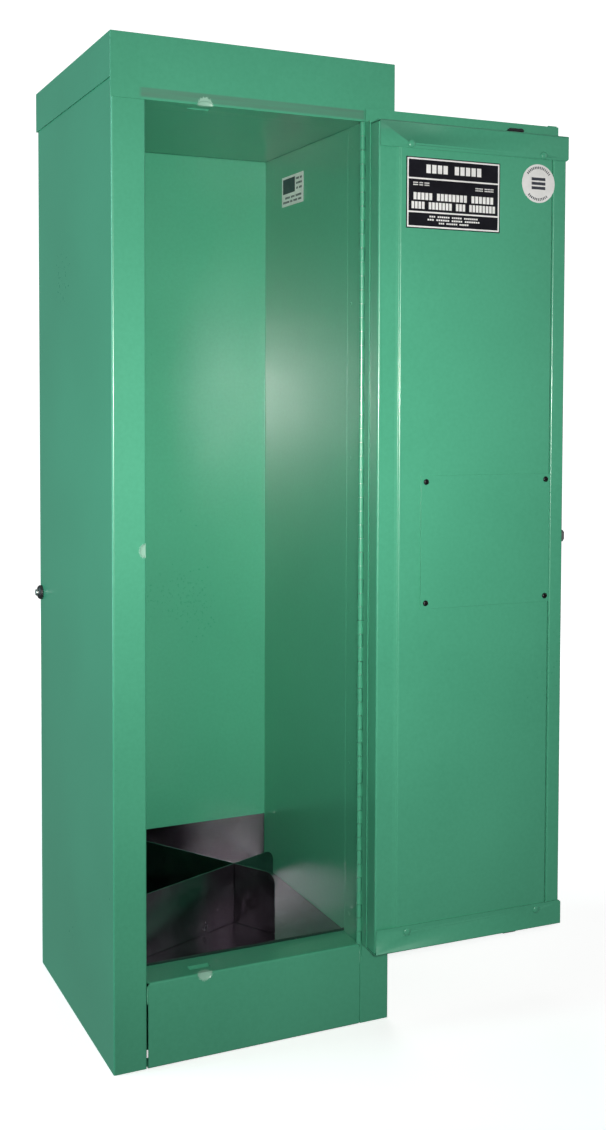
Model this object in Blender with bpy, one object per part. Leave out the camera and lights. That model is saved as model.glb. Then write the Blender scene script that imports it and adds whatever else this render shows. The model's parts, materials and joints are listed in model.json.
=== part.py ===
"""Single-door storage cabinet for medical gas cylinders, with its door standing open.

Frame: origin on the floor under the middle of the cabinet, +X to the hinge side,
+Y to the back, +Z up, in metres. The door pieces are laid out in the door's own
coordinates (u along the door from the hinge axis, v outwards through the door,
z up) under an empty that stands on the hinge axis.
"""

import math

import bmesh
import bpy
from mathutils import Matrix, Vector

MM = 0.001

# Driving dimensions of the cabinet
WIDTH = 335.3 * MM
DEPTH = 326.9 * MM
HEIGHT = 1117.6 * MM
SHEET = 1.2 * MM
GAP = 0.3 * MM
BEND = 1.6 * MM

LEFT = -WIDTH / 2
FRONT = -DEPTH / 2
BACK = DEPTH / 2

# Door opening and the room behind it
OPEN_HALF = 130.1 * MM
OPEN_BOTTOM = 95.25 * MM
OPEN_TOP = 1048.8 * MM
RETURN_DEPTH = 40.6 * MM
INNER_BACK = FRONT + 288.0 * MM
REAR_FLANGE = 15.0 * MM

# Cap over the top
CAP_SKIRT = 48.0 * MM

# Toe panel
TOE_HALF = 129.0 * MM
TOE_PROUD = 1.0 * MM
TOE_FOOT = 22.0 * MM

# Cylinder rack
RACK_HALF = 129.4 * MM
RACK_FRONT = FRONT + 41.5 * MM
RACK_HEM = 3.2 * MM
DIVIDER_TOP = 169.7 * MM
DIVIDER_SHEET = 1.5 * MM
DIVIDER_CORNER = 12.0 * MM
DIVIDER_A = (Vector((-81.0, 286.0)) * MM, Vector((49.0, 64.0)) * MM)
DIVIDER_B = (Vector((-128.0, 56.0)) * MM, Vector((80.0, 143.0)) * MM)

# Earth terminal on the left side
EARTH_Y = BACK - 11.0 * MM
EARTH_Z = 485.0 * MM
EARTH_RADIUS = 9.0 * MM

# Continuous hinge
HINGE_X = 126.6 * MM
HINGE_Y = FRONT - 3.2 * MM
KNUCKLE_RADIUS = 3.175 * MM
PIN_RADIUS = 1.2 * MM
LEAF_WIDTH = 15.6 * MM
HINGE_BOTTOM = 97.0 * MM
HINGE_TOP = 1047.4 * MM
KNUCKLE_COUNT = 60
KNUCKLE_PLAY = 0.25 * MM
CURL_STEPS = 6
CURL_SWEEP = math.radians(310)
LEAF_NOTCH = 4.2 * MM
OPEN_LEAN = math.radians(1.4)

# Door, in door coordinates
SKIN_INNER = -1.275 * MM
SKIN_START = 3.8 * MM
SKIN_END = 263.5 * MM
SKIN_BOTTOM = 81.5 * MM
SKIN_TOP = 1063.5 * MM
TAB_U = (248.5 * MM, 261.0 * MM)
TAB_RISE = 1.0 * MM
PAN_START = 3.5 * MM
PAN_END = 250.7 * MM
PAN_BOTTOM = 96.1 * MM
PAN_TOP = 1045.0 * MM
PAN_MOUTH = SKIN_INNER - GAP - SHEET - GAP
CHANNEL_END = 252.9 * MM
CHANNEL_FACE = -39.5 * MM
CHANNEL_HEIGHT = 29.5 * MM
CORNER_TRIM = 3.5 * MM
LINER_FACE = CHANNEL_FACE + SHEET + GAP
LINER_STEP = 2.2 * MM
STEP_START = 25.0 * MM
STEP_FOLD = 29.0 * MM
STEP_END = 30.6 * MM
STEP_SWELL = 0.6 * MM
SEAM_U = 231.6 * MM
SEAM_GAP = 0.9 * MM
SEAM_LIP = 6.0 * MM
PAN_INSET = SHEET + 0.8 * MM
RIVET_U = (42.8 * MM, 218.0 * MM)
RIVET_Z = (118.8 * MM, 1020.0 * MM)
RIVET_RADIUS = 4.4 * MM
SHANK_RADIUS = 1.7 * MM
SHANK_HOLE = 2.0 * MM

# Cover plate over the latch works, and the labels
COVER_U = (57.5 * MM, 230.6 * MM)
COVER_Z = (492.0 * MM, 645.0 * MM)
COVER_SCREW_U = (63.8 * MM, 224.8 * MM)
COVER_SCREW_Z = (498.8 * MM, 638.2 * MM)
COVER_SCREW_RADIUS = 3.4 * MM
ACCESS_U = (72.0 * MM, 214.0 * MM)
ACCESS_Z = (508.0 * MM, 629.0 * MM)
LABEL_U = (36.6 * MM, 158.9 * MM)
LABEL_Z = (926.1 * MM, 1006.2 * MM)
LABEL_SHEET = 0.4 * MM
STICKER_CENTRE = (211.4 * MM, 986.8 * MM)
STICKER_RADIUS = 22.6 * MM
INNER_LABEL_Y = (FRONT + 166.0 * MM, FRONT + 232.0 * MM)
INNER_LABEL_Z = (981.0 * MM, 1019.0 * MM)

# Latch works, in door coordinates
HUB_U = 190.0 * MM
HUB_Z = 587.5 * MM
ROD_ARM = 18.0 * MM
BOLT_ARM = 19.0 * MM
LATCH_PIN = 2.2 * MM
PIN_SLOT = 2.6 * MM
ROD_V = (-23.1 * MM, -20.1 * MM)
HUB_V = (-26.5 * MM, -23.6 * MM)
BOLT_V = (-29.8 * MM, -26.8 * MM)
CAM_V = (-33.6 * MM, -31.6 * MM)
ROD_HALF = 6.0 * MM
ROD_HEAD_HALF = 10.2 * MM
ROD_REACH = 7.1 * MM
TIP_LENGTH = 3.2 * MM
BOLT_HALF = 7.0 * MM
BOLT_END = 260.0 * MM
BOLT_TAIL = 181.0 * MM
FINGER_U = (218.0 * MM, 224.0 * MM)

TRAY_U = (160.0 * MM, 240.0 * MM)
TRAY_Z = (500.0 * MM, 614.0 * MM)
TRAY_RIM = 9.0 * MM
TRAY_FLOOR = -15.0 * MM
PADDLE_PIVOT_V = -6.0 * MM
PADDLE_PIVOT_Z = 598.0 * MM
PADDLE_PIN_RADIUS = 2.0 * MM
LOCK_U = 212.0 * MM
LOCK_Z = 521.0 * MM
LOCK_RADIUS = 8.0 * MM
PLUG_RADIUS = 5.6 * MM

SPRING_RADIUS = 8.9 * MM
SPRING_WIRE = 0.7 * MM
SPRING_TURNS = 6
SPRING_LENGTH = 44.6 * MM
SPRING_PLAY = 2.4 * MM
GUIDE_OFFSET = 165.0 * MM

BOLT_Z = HUB_Z - BOLT_ARM
ROD_CENTRE_V = sum(ROD_V) / 2
BOLT_CENTRE_V = sum(BOLT_V) / 2


# ---------------------------------------------------------------- tools

def clear_scene():
    for thing in list(bpy.data.objects):
        bpy.data.objects.remove(thing)


def material(name, colour, roughness, metallic):
    found = bpy.data.materials.get(name)
    if found:
        return found
    made = bpy.data.materials.new(name)
    made.use_nodes = True
    shader = made.node_tree.nodes["Principled BSDF"]
    shader.inputs["Base Color"].default_value = (*colour, 1.0)
    shader.inputs["Roughness"].default_value = roughness
    shader.inputs["Metallic"].default_value = metallic
    return made


def green_enamel():
    return material("green_enamel", (0.075, 0.36, 0.22), 0.38, 0.0)


def galvanised():
    return material("galvanised", (0.62, 0.63, 0.65), 0.22, 1.0)


def zinc_plate():
    return material("zinc_plate", (0.66, 0.66, 0.64), 0.32, 1.0)


def black_plastic():
    return material("black_plastic", (0.02, 0.02, 0.022), 0.42, 0.0)


def black_screw():
    return material("black_oxide", (0.03, 0.03, 0.032), 0.35, 0.6)


def label_black():
    return material("label_black", (0.015, 0.015, 0.018), 0.3, 0.0)


def label_white():
    return material("label_white", (0.85, 0.85, 0.84), 0.35, 0.0)


def mesh_object(name, bm, finish, parent=None):
    """A mesh object from bm, its faces pointing out, under parent if there is one."""
    bmesh.ops.recalc_face_normals(bm, faces=bm.faces)
    mesh = bpy.data.meshes.new(name)
    bm.to_mesh(mesh)
    bm.free()
    thing = bpy.data.objects.new(name, mesh)
    bpy.context.scene.collection.objects.link(thing)
    mesh.materials.append(finish)
    thing.parent = parent
    return thing


def box_mesh(low, high):
    bm = bmesh.new()
    bmesh.ops.create_cube(bm, size=1.0)
    size = Vector(high) - Vector(low)
    centre = (Vector(high) + Vector(low)) / 2
    bmesh.ops.transform(bm, matrix=Matrix.LocRotScale(centre, None, size), verts=bm.verts)
    return bm


def prism_mesh(outline, axis, low, high):
    """The outline, given in the two axes that follow `axis` in X, Y, Z order, extruded along it."""
    places = {"X": lambda p, h: (h, p[0], p[1]),
              "Y": lambda p, h: (p[0], h, p[1]),
              "Z": lambda p, h: (p[0], p[1], h)}
    place = places[axis]
    bm = bmesh.new()
    face = bm.faces.new([bm.verts.new(place(p, low)) for p in outline])
    raised = bmesh.ops.extrude_face_region(bm, geom=[face])
    top = [v for v in raised["geom"] if isinstance(v, bmesh.types.BMVert)]
    shift = Vector(place((0.0, 0.0), high)) - Vector(place((0.0, 0.0), low))
    bmesh.ops.translate(bm, verts=top, vec=shift)
    return bm


def circle(radius, centre=(0.0, 0.0), sides=16):
    turn = 2 * math.pi / sides
    return [(centre[0] + radius * math.cos(turn * k), centre[1] + radius * math.sin(turn * k))
            for k in range(sides)]


def rounded_box(low, high, radius, steps=4):
    """A rectangle's outline with round corners."""
    corners = [(high[0], high[1], 0), (low[0], high[1], 1), (low[0], low[1], 2), (high[0], low[1], 3)]
    points = []
    for x, y, quarter in corners:
        centre_x = x - math.copysign(radius, x - low[0] - radius)
        centre_y = y - math.copysign(radius, y - low[1] - radius)
        for step in range(steps + 1):
            angle = (quarter + step / steps) * math.pi / 2
            points.append((centre_x + radius * math.cos(angle), centre_y + radius * math.sin(angle)))
    return points


def folded_outline(points, sheet=SHEET, bend=BEND, steps=3):
    """Outline of a bent sheet, from the corners of its middle line; each corner is a round bend."""
    path = [Vector(p) for p in points]
    sides = [[], []]

    def add(point, normal):
        sides[0].append(point + normal * sheet / 2)
        sides[1].append(point - normal * sheet / 2)

    def normal_of(direction):
        return Vector((-direction.y, direction.x))

    directions = [(b - a).normalized() for a, b in zip(path, path[1:])]
    add(path[0], normal_of(directions[0]))
    for corner, before, after in zip(path[1:-1], directions, directions[1:]):
        turn = before.angle_signed(after) * -1
        reach = bend * math.tan(abs(turn) / 2)
        centre = corner - before * reach + normal_of(before) * math.copysign(bend, turn)
        for step in range(steps + 1):
            normal = Matrix.Rotation(turn * step / steps, 2) @ normal_of(before)
            add(centre - normal * math.copysign(bend, turn), normal)
    add(path[-1], normal_of(directions[-1]))
    return sides[0] + sides[1][::-1]


def combine(thing, bm, operation):
    """Adds or cuts away a closed mesh with a Boolean; its helper object isn't part of the model."""
    helper = mesh_object(f"{thing.name}_{operation.lower()}_{len(thing.modifiers)}", bm,
                         thing.data.materials[0], thing.parent)
    helper.hide_render = True
    helper.hide_viewport = True
    helper.display_type = "WIRE"
    modifier = thing.modifiers.new(f"{operation.lower()}_{len(thing.modifiers)}", "BOOLEAN")
    modifier.operation = operation
    modifier.solver = "EXACT"
    modifier.object = helper
    return thing


def cut(thing, bm):
    return combine(thing, bm, "DIFFERENCE")


def add(thing, bm):
    return combine(thing, bm, "UNION")


def holes_mesh(centres, radius, axis, low, high, sides=12):
    """Round cutters at several centres, in one mesh."""
    bm = bmesh.new()
    for centre in centres:
        hole = prism_mesh(circle(radius, centre, sides), axis, low, high)
        mesh = bpy.data.meshes.new("hole")
        bmesh.ops.recalc_face_normals(hole, faces=hole.faces)
        hole.to_mesh(mesh)
        hole.free()
        bm.from_mesh(mesh)
        bpy.data.meshes.remove(mesh)
    return bm


def round_smooth(thing, angle=35):
    thing.data.shade_smooth()
    thing.data.set_sharp_from_angle(angle=math.radians(angle))
    return thing


def turned_mesh(profile, steps):
    """A solid of revolution about Z from (radius, z) points that start and end on the axis."""
    bm = bmesh.new()
    rings = []
    for radius, z in profile:
        if radius == 0:
            rings.append([bm.verts.new((0, 0, z))])
        else:
            rings.append([bm.verts.new((x, y, z)) for x, y in circle(radius, sides=steps)])
    for low, high in zip(rings, rings[1:]):
        for k in range(steps):
            nxt = (k + 1) % steps
            corners = {low[k % len(low)]: 0, low[nxt % len(low)]: 0,
                       high[nxt % len(high)]: 0, high[k % len(high)]: 0}
            bm.faces.new(list(corners))
    return bm


def aim(bm, direction, location):
    """Turns a mesh made about +Z to point along direction, and moves it to location."""
    turn = Vector((0, 0, 1)).rotation_difference(Vector(direction)).to_matrix().to_4x4()
    bmesh.ops.transform(bm, matrix=Matrix.Translation(location) @ turn, verts=bm.verts)
    return bm


# ---------------------------------------------------------------- cabinet

def side_panel(name, side):
    """Outer side, front jamb and jamb return in one bent sheet; side is -1 left, 1 right."""
    half = SHEET / 2
    rear = BACK - SHEET - GAP - half
    middle = [(OPEN_HALF + half, FRONT + RETURN_DEPTH),
              (OPEN_HALF + half, FRONT + half),
              (WIDTH / 2 - half, FRONT + half),
              (WIDTH / 2 - half, rear),
              (WIDTH / 2 - REAR_FLANGE, rear)]
    outline = [(side * p.x, p.y) for p in folded_outline(middle)]
    return mesh_object(name, prism_mesh(outline, "Z", 0.0, HEIGHT - SHEET - GAP), green_enamel())


def build_shell():
    left = side_panel("left_side_panel", -1)
    side_panel("right_side_panel", 1)
    bolt_y = HINGE_Y - BOLT_CENTRE_V
    cut(left, box_mesh((-OPEN_HALF - 4 * MM, bolt_y - 4 * MM, BOLT_Z - 9 * MM),
                       (-OPEN_HALF + 2 * MM, bolt_y + 4 * MM, BOLT_Z + 9 * MM)))
    cut(left, prism_mesh(circle(5 * MM, (EARTH_Y, EARTH_Z)), "X", LEFT - 5 * MM, LEFT + 5 * MM))

    inset = WIDTH / 2 - SHEET - GAP
    mesh_object("back_panel", box_mesh((-inset, BACK - SHEET, GAP + SHEET),
                                       (inset, BACK, HEIGHT - SHEET - GAP)), green_enamel())
    base_back = BACK - 2 * SHEET - 2 * GAP
    mesh_object("base_plate", box_mesh((-inset, FRONT + RETURN_DEPTH + GAP, 0.0),
                                       (inset, base_back, SHEET)), green_enamel())
    build_cap()
    build_toe()


def build_cap():
    """Top, side and rear skirts, and the header over the door with its return."""
    skin = SHEET + GAP
    low = Vector((LEFT - skin, FRONT - skin, OPEN_TOP))
    high = Vector((-LEFT + skin, BACK + skin, HEIGHT))
    cap = mesh_object("top_cap", box_mesh(low, high), green_enamel())
    cut(cap, box_mesh((LEFT - GAP, FRONT - GAP, OPEN_TOP - 9 * MM),
                      (-LEFT + GAP, BACK + GAP, HEIGHT - SHEET)))
    cut(cap, box_mesh((LEFT - 9 * MM, FRONT - GAP, OPEN_TOP - 9 * MM),
                      (-LEFT + 9 * MM, BACK + 9 * MM, HEIGHT - CAP_SKIRT)))
    add(cap, box_mesh((-OPEN_HALF + GAP, FRONT - skin, OPEN_TOP),
                      (OPEN_HALF - GAP, FRONT + RETURN_DEPTH, OPEN_TOP + SHEET)))
    cut(cap, strike_slot(OPEN_TOP, 1))


def build_toe():
    """Kick plate under the door with the sill return above and a foot below."""
    half = SHEET / 2
    face = FRONT - TOE_PROUD + half
    middle = [(FRONT + TOE_FOOT, half), (face, half), (face, OPEN_BOTTOM - half),
              (FRONT + RETURN_DEPTH, OPEN_BOTTOM - half)]
    toe = mesh_object("toe_panel", prism_mesh(folded_outline(middle), "X", -TOE_HALF, TOE_HALF),
                      green_enamel())
    cut(toe, strike_slot(OPEN_BOTTOM, -1))


def strike_slot(level, way):
    """Cutter for the slot that a rod tip enters when the door is shut; way is 1 up, -1 down."""
    x = HINGE_X - HUB_U
    y = HINGE_Y - ROD_CENTRE_V
    low, high = sorted((level - way * 2 * MM, level + way * 4 * MM))
    return box_mesh((x - 12.5 * MM, y - 4.5 * MM, low), (x + 12.5 * MM, y + 4.5 * MM, high))


def build_liner():
    """Inner walls, ceiling and deck of the double-walled body."""
    half = SHEET / 2
    start = FRONT + RETURN_DEPTH + GAP
    side = OPEN_HALF + half
    middle = [(-side, start), (-side, INNER_BACK + half), (side, INNER_BACK + half), (side, start)]
    mesh_object("liner_wrap", prism_mesh(folded_outline(middle), "Z", OPEN_BOTTOM + GAP, OPEN_TOP - GAP),
                green_enamel())
    room = (OPEN_HALF, INNER_BACK)
    mesh_object("inner_ceiling", box_mesh((-room[0], start, OPEN_TOP),
                                          (room[0], room[1], OPEN_TOP + SHEET)), green_enamel())
    mesh_object("inner_deck", box_mesh((-room[0], start, OPEN_BOTTOM - SHEET),
                                       (room[0], room[1], OPEN_BOTTOM)), green_enamel())
    for name, side in (("deck_stringer_left", -1), ("deck_stringer_right", 1)):
        build_stringer(name, side * 62.0 * MM)


def build_stringer(name, centre):
    """A hat section that carries the deck on the base plate."""
    half = SHEET / 2
    low = SHEET + GAP + half
    high = OPEN_BOTTOM - SHEET - GAP - half
    middle = [(centre - 32 * MM, low), (centre - 16 * MM, low), (centre - 16 * MM, high),
              (centre + 16 * MM, high), (centre + 16 * MM, low), (centre + 32 * MM, low)]
    mesh_object(name, prism_mesh(folded_outline(middle), "Y", FRONT + 60 * MM, INNER_BACK - 12 * MM),
                green_enamel())


# ---------------------------------------------------------------- rack

def build_rack():
    half = SHEET / 2
    floor = OPEN_BOTTOM + GAP + half
    rear = INNER_BACK - GAP - half
    middle = [(RACK_FRONT, floor + RACK_HEM), (RACK_FRONT, floor), (rear, floor),
              (rear, DIVIDER_TOP - 1 * MM)]
    mesh_object("rack_pan", prism_mesh(folded_outline(middle, bend=1.0 * MM), "X", -RACK_HALF, RACK_HALF),
                galvanised())
    crossing = line_crossing(DIVIDER_A, DIVIDER_B)
    build_divider("divider_a", DIVIDER_A, crossing, slot_up=True)
    build_divider("divider_b", DIVIDER_B, crossing, slot_up=False)


def line_crossing(first, second):
    a, b = first
    c, d = second
    r, s = b - a, d - c
    share = (c - a).cross(s) / r.cross(s)
    return a + r * share


def build_divider(name, ends, crossing, slot_up):
    """An upright plate; two of them cross with half-height slots, like an egg crate."""
    start, end = ends
    along = (end - start).normalized()
    length = (end - start).length
    bottom = OPEN_BOTTOM + 2 * GAP + SHEET
    middle = (bottom + DIVIDER_TOP) / 2
    r = DIVIDER_CORNER
    outline = [(0.0, bottom), (length, bottom)]
    outline += [(length - r + r * math.cos(k * math.pi / 8), DIVIDER_TOP - r + r * math.sin(k * math.pi / 8))
                for k in range(5)]
    outline += [(r - r * math.sin(k * math.pi / 8), DIVIDER_TOP - r + r * math.cos(k * math.pi / 8))
                for k in range(5)]
    plate = mesh_object(name, prism_mesh(outline, "Y", -DIVIDER_SHEET / 2, DIVIDER_SHEET / 2), galvanised())
    at = (crossing - start).length
    wide = DIVIDER_SHEET / 2 + 0.5 * MM
    low, high = (middle - GAP, DIVIDER_TOP + 5 * MM) if slot_up else (bottom - 5 * MM, middle + GAP)
    cut(plate, box_mesh((at - wide, -9 * MM, low), (at + wide, 9 * MM, high)))
    place = Matrix.Translation((start.x, FRONT + start.y, 0.0)) @ Matrix.Rotation(
        math.atan2(along.y, along.x), 4, "Z")
    for piece in (plate, plate.modifiers[0].object):
        piece.data.transform(place)


def build_earth_terminal():
    """Bushing and screw for an earth wire, low on the left side."""
    bush = [(0, -4 * MM), (4.6 * MM, -4 * MM), (4.6 * MM, GAP), (EARTH_RADIUS, GAP),
            (EARTH_RADIUS, 3.0 * MM), (7.6 * MM, 5.2 * MM), (0, 5.2 * MM)]
    bushing = mesh_object("earth_bushing", aim(turned_mesh(bush, 20), (-1, 0, 0), (LEFT, EARTH_Y, EARTH_Z)),
                          black_plastic())
    cut(bushing, aim(turned_mesh([(0, -6 * MM), (2.2 * MM, -6 * MM), (2.2 * MM, 9 * MM), (0, 9 * MM)], 12),
                     (-1, 0, 0), (LEFT, EARTH_Y, EARTH_Z)))
    screw = [(0, -8 * MM), (1.9 * MM, -8 * MM), (1.9 * MM, 5.5 * MM), (4.4 * MM, 5.5 * MM),
             (4.2 * MM, 7.2 * MM), (2.4 * MM, 8.4 * MM), (0, 8.6 * MM)]
    round_smooth(mesh_object("earth_screw", aim(turned_mesh(screw, 12), (-1, 0, 0), (LEFT, EARTH_Y, EARTH_Z)),
                             zinc_plate()))
    round_smooth(bushing)


def build_inner_label():
    face = OPEN_HALF - 0.2 * MM
    mesh_object("inner_label", box_mesh((face - LABEL_SHEET, INNER_LABEL_Y[0], INNER_LABEL_Z[0]),
                                        (face, INNER_LABEL_Y[1], INNER_LABEL_Z[1])), label_white())


# ---------------------------------------------------------------- hinge

def leaf_mesh(direction, owns):
    """A hinge leaf about the pin axis: a plate on the side `direction` of it, tangent to the barrel at +x.

    owns(k) says which bands carry one of its curled knuckles; the plate stays clear of the other bands.
    """
    outer = KNUCKLE_RADIUS
    inner = KNUCKLE_RADIUS - SHEET
    pitch = (HINGE_TOP - HINGE_BOTTOM) / KNUCKLE_COUNT
    bands = [(HINGE_BOTTOM + k * pitch + KNUCKLE_PLAY, HINGE_BOTTOM + (k + 1) * pitch - KNUCKLE_PLAY)
             for k in range(KNUCKLE_COUNT) if owns(k)]
    ends = {HINGE_BOTTOM + KNUCKLE_PLAY, HINGE_TOP - KNUCKLE_PLAY}
    heights = sorted(ends | {z for band in bands for z in band})
    bm = bmesh.new()

    def pair(y, z):
        return [bm.verts.new((radius, direction * y, z)) for radius in (outer, inner)]

    def curl(z):
        turns = [-direction * CURL_SWEEP * step / CURL_STEPS for step in range(CURL_STEPS + 1)]
        return [[bm.verts.new((radius * math.cos(a), radius * math.sin(a), z)) for radius in (outer, inner)]
                for a in turns]

    def bridge(near_low, far_low, near_high, far_high):
        for side in (0, 1):
            bm.faces.new([near_low[side], far_low[side], far_high[side], near_high[side]])

    root = {z: pair(LEAF_NOTCH, z) for z in heights}
    tail = {z: pair(LEAF_WIDTH, z) for z in heights}
    for low, high in zip(heights, heights[1:]):
        bridge(root[low], tail[low], root[high], tail[high])
        bm.faces.new(tail[low] + tail[high][::-1])
        if (low, high) in bands:
            below, above = [root[low], *curl(low)], [root[high], *curl(high)]
            for k in range(CURL_STEPS + 1):
                bridge(below[k], below[k + 1], above[k], above[k + 1])
                bm.faces.new(below[k] + below[k + 1][::-1])
                bm.faces.new(above[k] + above[k + 1][::-1])
            bm.faces.new(below[-1] + above[-1][::-1])
        else:
            bm.faces.new(root[low] + root[high][::-1])
    for z in (heights[0], heights[-1]):
        bm.faces.new(root[z] + tail[z][::-1])
    return bm


def build_hinge(door):
    frame_leaf = leaf_mesh(1, lambda k: k % 2 == 0)
    bmesh.ops.translate(frame_leaf, verts=frame_leaf.verts, vec=(HINGE_X, HINGE_Y, 0.0))
    mesh_object("hinge_frame_leaf", frame_leaf, green_enamel())
    mesh_object("hinge_door_leaf", leaf_mesh(-1, lambda k: k % 2 == 1), green_enamel(), door)
    pin = prism_mesh(circle(PIN_RADIUS, (HINGE_X, HINGE_Y), 10), "Z",
                     HINGE_BOTTOM - 0.6 * MM, HINGE_TOP + 0.6 * MM)
    round_smooth(mesh_object("hinge_pin", pin, zinc_plate()))


# ---------------------------------------------------------------- door

def build_door_shell(door):
    skin = mesh_object("door_outer_panel", box_mesh((SKIN_START, SKIN_INNER, SKIN_BOTTOM),
                                                    (SKIN_END, SKIN_INNER + SHEET, SKIN_TOP)),
                       green_enamel(), door)
    add(skin, box_mesh((TAB_U[0], SKIN_INNER, SKIN_TOP - 2 * MM),
                       (TAB_U[1], SKIN_INNER + SHEET, SKIN_TOP + TAB_RISE)))
    slack = 0.4 * MM
    cut(skin, box_mesh((TRAY_U[0] - slack, -5 * MM, TRAY_Z[0] - slack),
                       (TRAY_U[1] + slack, 5 * MM, TRAY_Z[1] + slack)))
    build_liner_panel(door)
    build_edge_channel(door)
    build_end_channel(door, "door_top_channel", PAN_TOP, -1)
    build_end_channel(door, "door_bottom_channel", PAN_BOTTOM, 1)


def screw_centres():
    return [(u, z) for z in COVER_SCREW_Z for u in COVER_SCREW_U]


def rivet_centres():
    return [(u, z) for z in RIVET_Z for u in RIVET_U]


def build_liner_panel(door):
    """Inner pan of the door: hinge flange, a stepped-down strip, and the broad raised face."""
    half = SHEET / 2
    low_face = LINER_FACE + LINER_STEP + half
    face = LINER_FACE + half
    middle = [(PAN_START + half, PAN_MOUTH), (PAN_START + half, low_face), (STEP_START, low_face),
              (STEP_FOLD, low_face - STEP_SWELL), (STEP_END, face), (SEAM_U - half, face),
              (SEAM_U - half, face + SEAM_LIP)]
    panel = mesh_object("door_inner_panel", prism_mesh(folded_outline(middle), "Z", PAN_BOTTOM + PAN_INSET,
                                                       PAN_TOP - PAN_INSET), green_enamel(), door)
    cut(panel, box_mesh((ACCESS_U[0], LINER_FACE - 5 * MM, ACCESS_Z[0]),
                        (ACCESS_U[1], LINER_FACE + 5 * MM, ACCESS_Z[1])))
    cut(panel, holes_mesh(screw_centres() + rivet_centres(), SHANK_HOLE, "Y",
                          LINER_FACE - 5 * MM, LINER_FACE + 5 * MM))


def build_edge_channel(door):
    """The latch-side edge of the door, with the middle bolt's slot."""
    half = SHEET / 2
    face = LINER_FACE + half
    start = SEAM_U + SEAM_GAP + half
    middle = [(start, face + SEAM_LIP), (start, face), (PAN_END - half, face), (PAN_END - half, PAN_MOUTH)]
    edge = mesh_object("door_edge_channel", prism_mesh(folded_outline(middle), "Z", PAN_BOTTOM + PAN_INSET,
                                                       PAN_TOP - PAN_INSET), green_enamel(), door)
    slack = 1.0 * MM
    cut(edge, box_mesh((PAN_END - 5 * MM, BOLT_V[0] - slack, BOLT_Z - BOLT_HALF - slack),
                       (PAN_END + 5 * MM, BOLT_V[1] + slack, BOLT_Z + BOLT_HALF + slack)))


def build_end_channel(door, name, end, way):
    """A channel that closes the door's top (way -1) or bottom (way 1) and wraps its latch edge."""
    half = SHEET / 2
    outer = SKIN_INNER - GAP - half
    inner = CHANNEL_FACE + half
    web = end + way * half
    tip = end + way * CHANNEL_HEIGHT
    middle = [(outer, end + way * 14 * MM), (outer, web), (inner, web), (inner, tip)]
    channel = mesh_object(name, prism_mesh(folded_outline(middle), "X", PAN_START, CHANNEL_END),
                          green_enamel(), door)
    low, high = sorted((end + way * 0.4 * SHEET, tip))
    add(channel, box_mesh((CHANNEL_END - SHEET, inner - 0.1 * MM, low), (CHANNEL_END, outer, high)))
    corner = [(CHANNEL_END - CORNER_TRIM, tip + way * 1 * MM), (CHANNEL_END + 1 * MM, tip + way * 1 * MM),
              (CHANNEL_END + 1 * MM, tip - way * CORNER_TRIM)]
    cut(channel, prism_mesh(corner, "Y", CHANNEL_FACE - 5 * MM, outer + 5 * MM))
    cut(channel, box_mesh((HUB_U - 11.6 * MM, ROD_V[0] - 2.4 * MM, end - 6 * MM),
                          (HUB_U + 11.6 * MM, ROD_V[1] + 2.4 * MM, end + 6 * MM)))
    centres = [(u, z) for u, z in rivet_centres() if abs(z - end) < CHANNEL_HEIGHT]
    cut(channel, holes_mesh(centres, SHANK_HOLE, "Y", CHANNEL_FACE - 5 * MM, CHANNEL_FACE + 5 * MM))


def dome_fastener(name, centre, face, radius, rise, reach, finish, door):
    """A domed head on the face, with a shank that goes in through the sheets."""
    profile = [(0, -reach), (SHANK_RADIUS, -reach), (SHANK_RADIUS, GAP), (radius, GAP),
               (radius * 0.92, GAP + rise * 0.5), (radius * 0.6, GAP + rise * 0.87), (0, GAP + rise)]
    bm = aim(turned_mesh(profile, 12), (0, -1, 0), (centre[0], face, centre[1]))
    return round_smooth(mesh_object(name, bm, finish, door))


def build_door_fittings(door):
    for count, centre in enumerate(rivet_centres(), 1):
        dome_fastener(f"door_rivet_{count}", centre, CHANNEL_FACE, RIVET_RADIUS, 1.9 * MM, 4.4 * MM,
                      green_enamel(), door)
    cover_face = LINER_FACE - GAP - SHEET
    cover = mesh_object("latch_cover", box_mesh((COVER_U[0], cover_face, COVER_Z[0]),
                                                (COVER_U[1], cover_face + SHEET, COVER_Z[1])),
                        green_enamel(), door)
    cut(cover, holes_mesh(screw_centres(), SHANK_HOLE, "Y", cover_face - 5 * MM, cover_face + 5 * MM))
    for count, centre in enumerate(screw_centres(), 1):
        dome_fastener(f"cover_screw_{count}", centre, cover_face, COVER_SCREW_RADIUS, 2.0 * MM, 8.0 * MM,
                      black_screw(), door)
    sticker_face = LINER_FACE - 0.2 * MM
    mesh_object("door_label", box_mesh((LABEL_U[0], sticker_face - LABEL_SHEET, LABEL_Z[0]),
                                       (LABEL_U[1], sticker_face, LABEL_Z[1])), label_black(), door)
    sticker = prism_mesh(circle(STICKER_RADIUS, STICKER_CENTRE, 32), "Y", sticker_face - LABEL_SHEET,
                         sticker_face)
    mesh_object("door_sticker", sticker, label_white(), door)


# ---------------------------------------------------------------- latch

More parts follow.
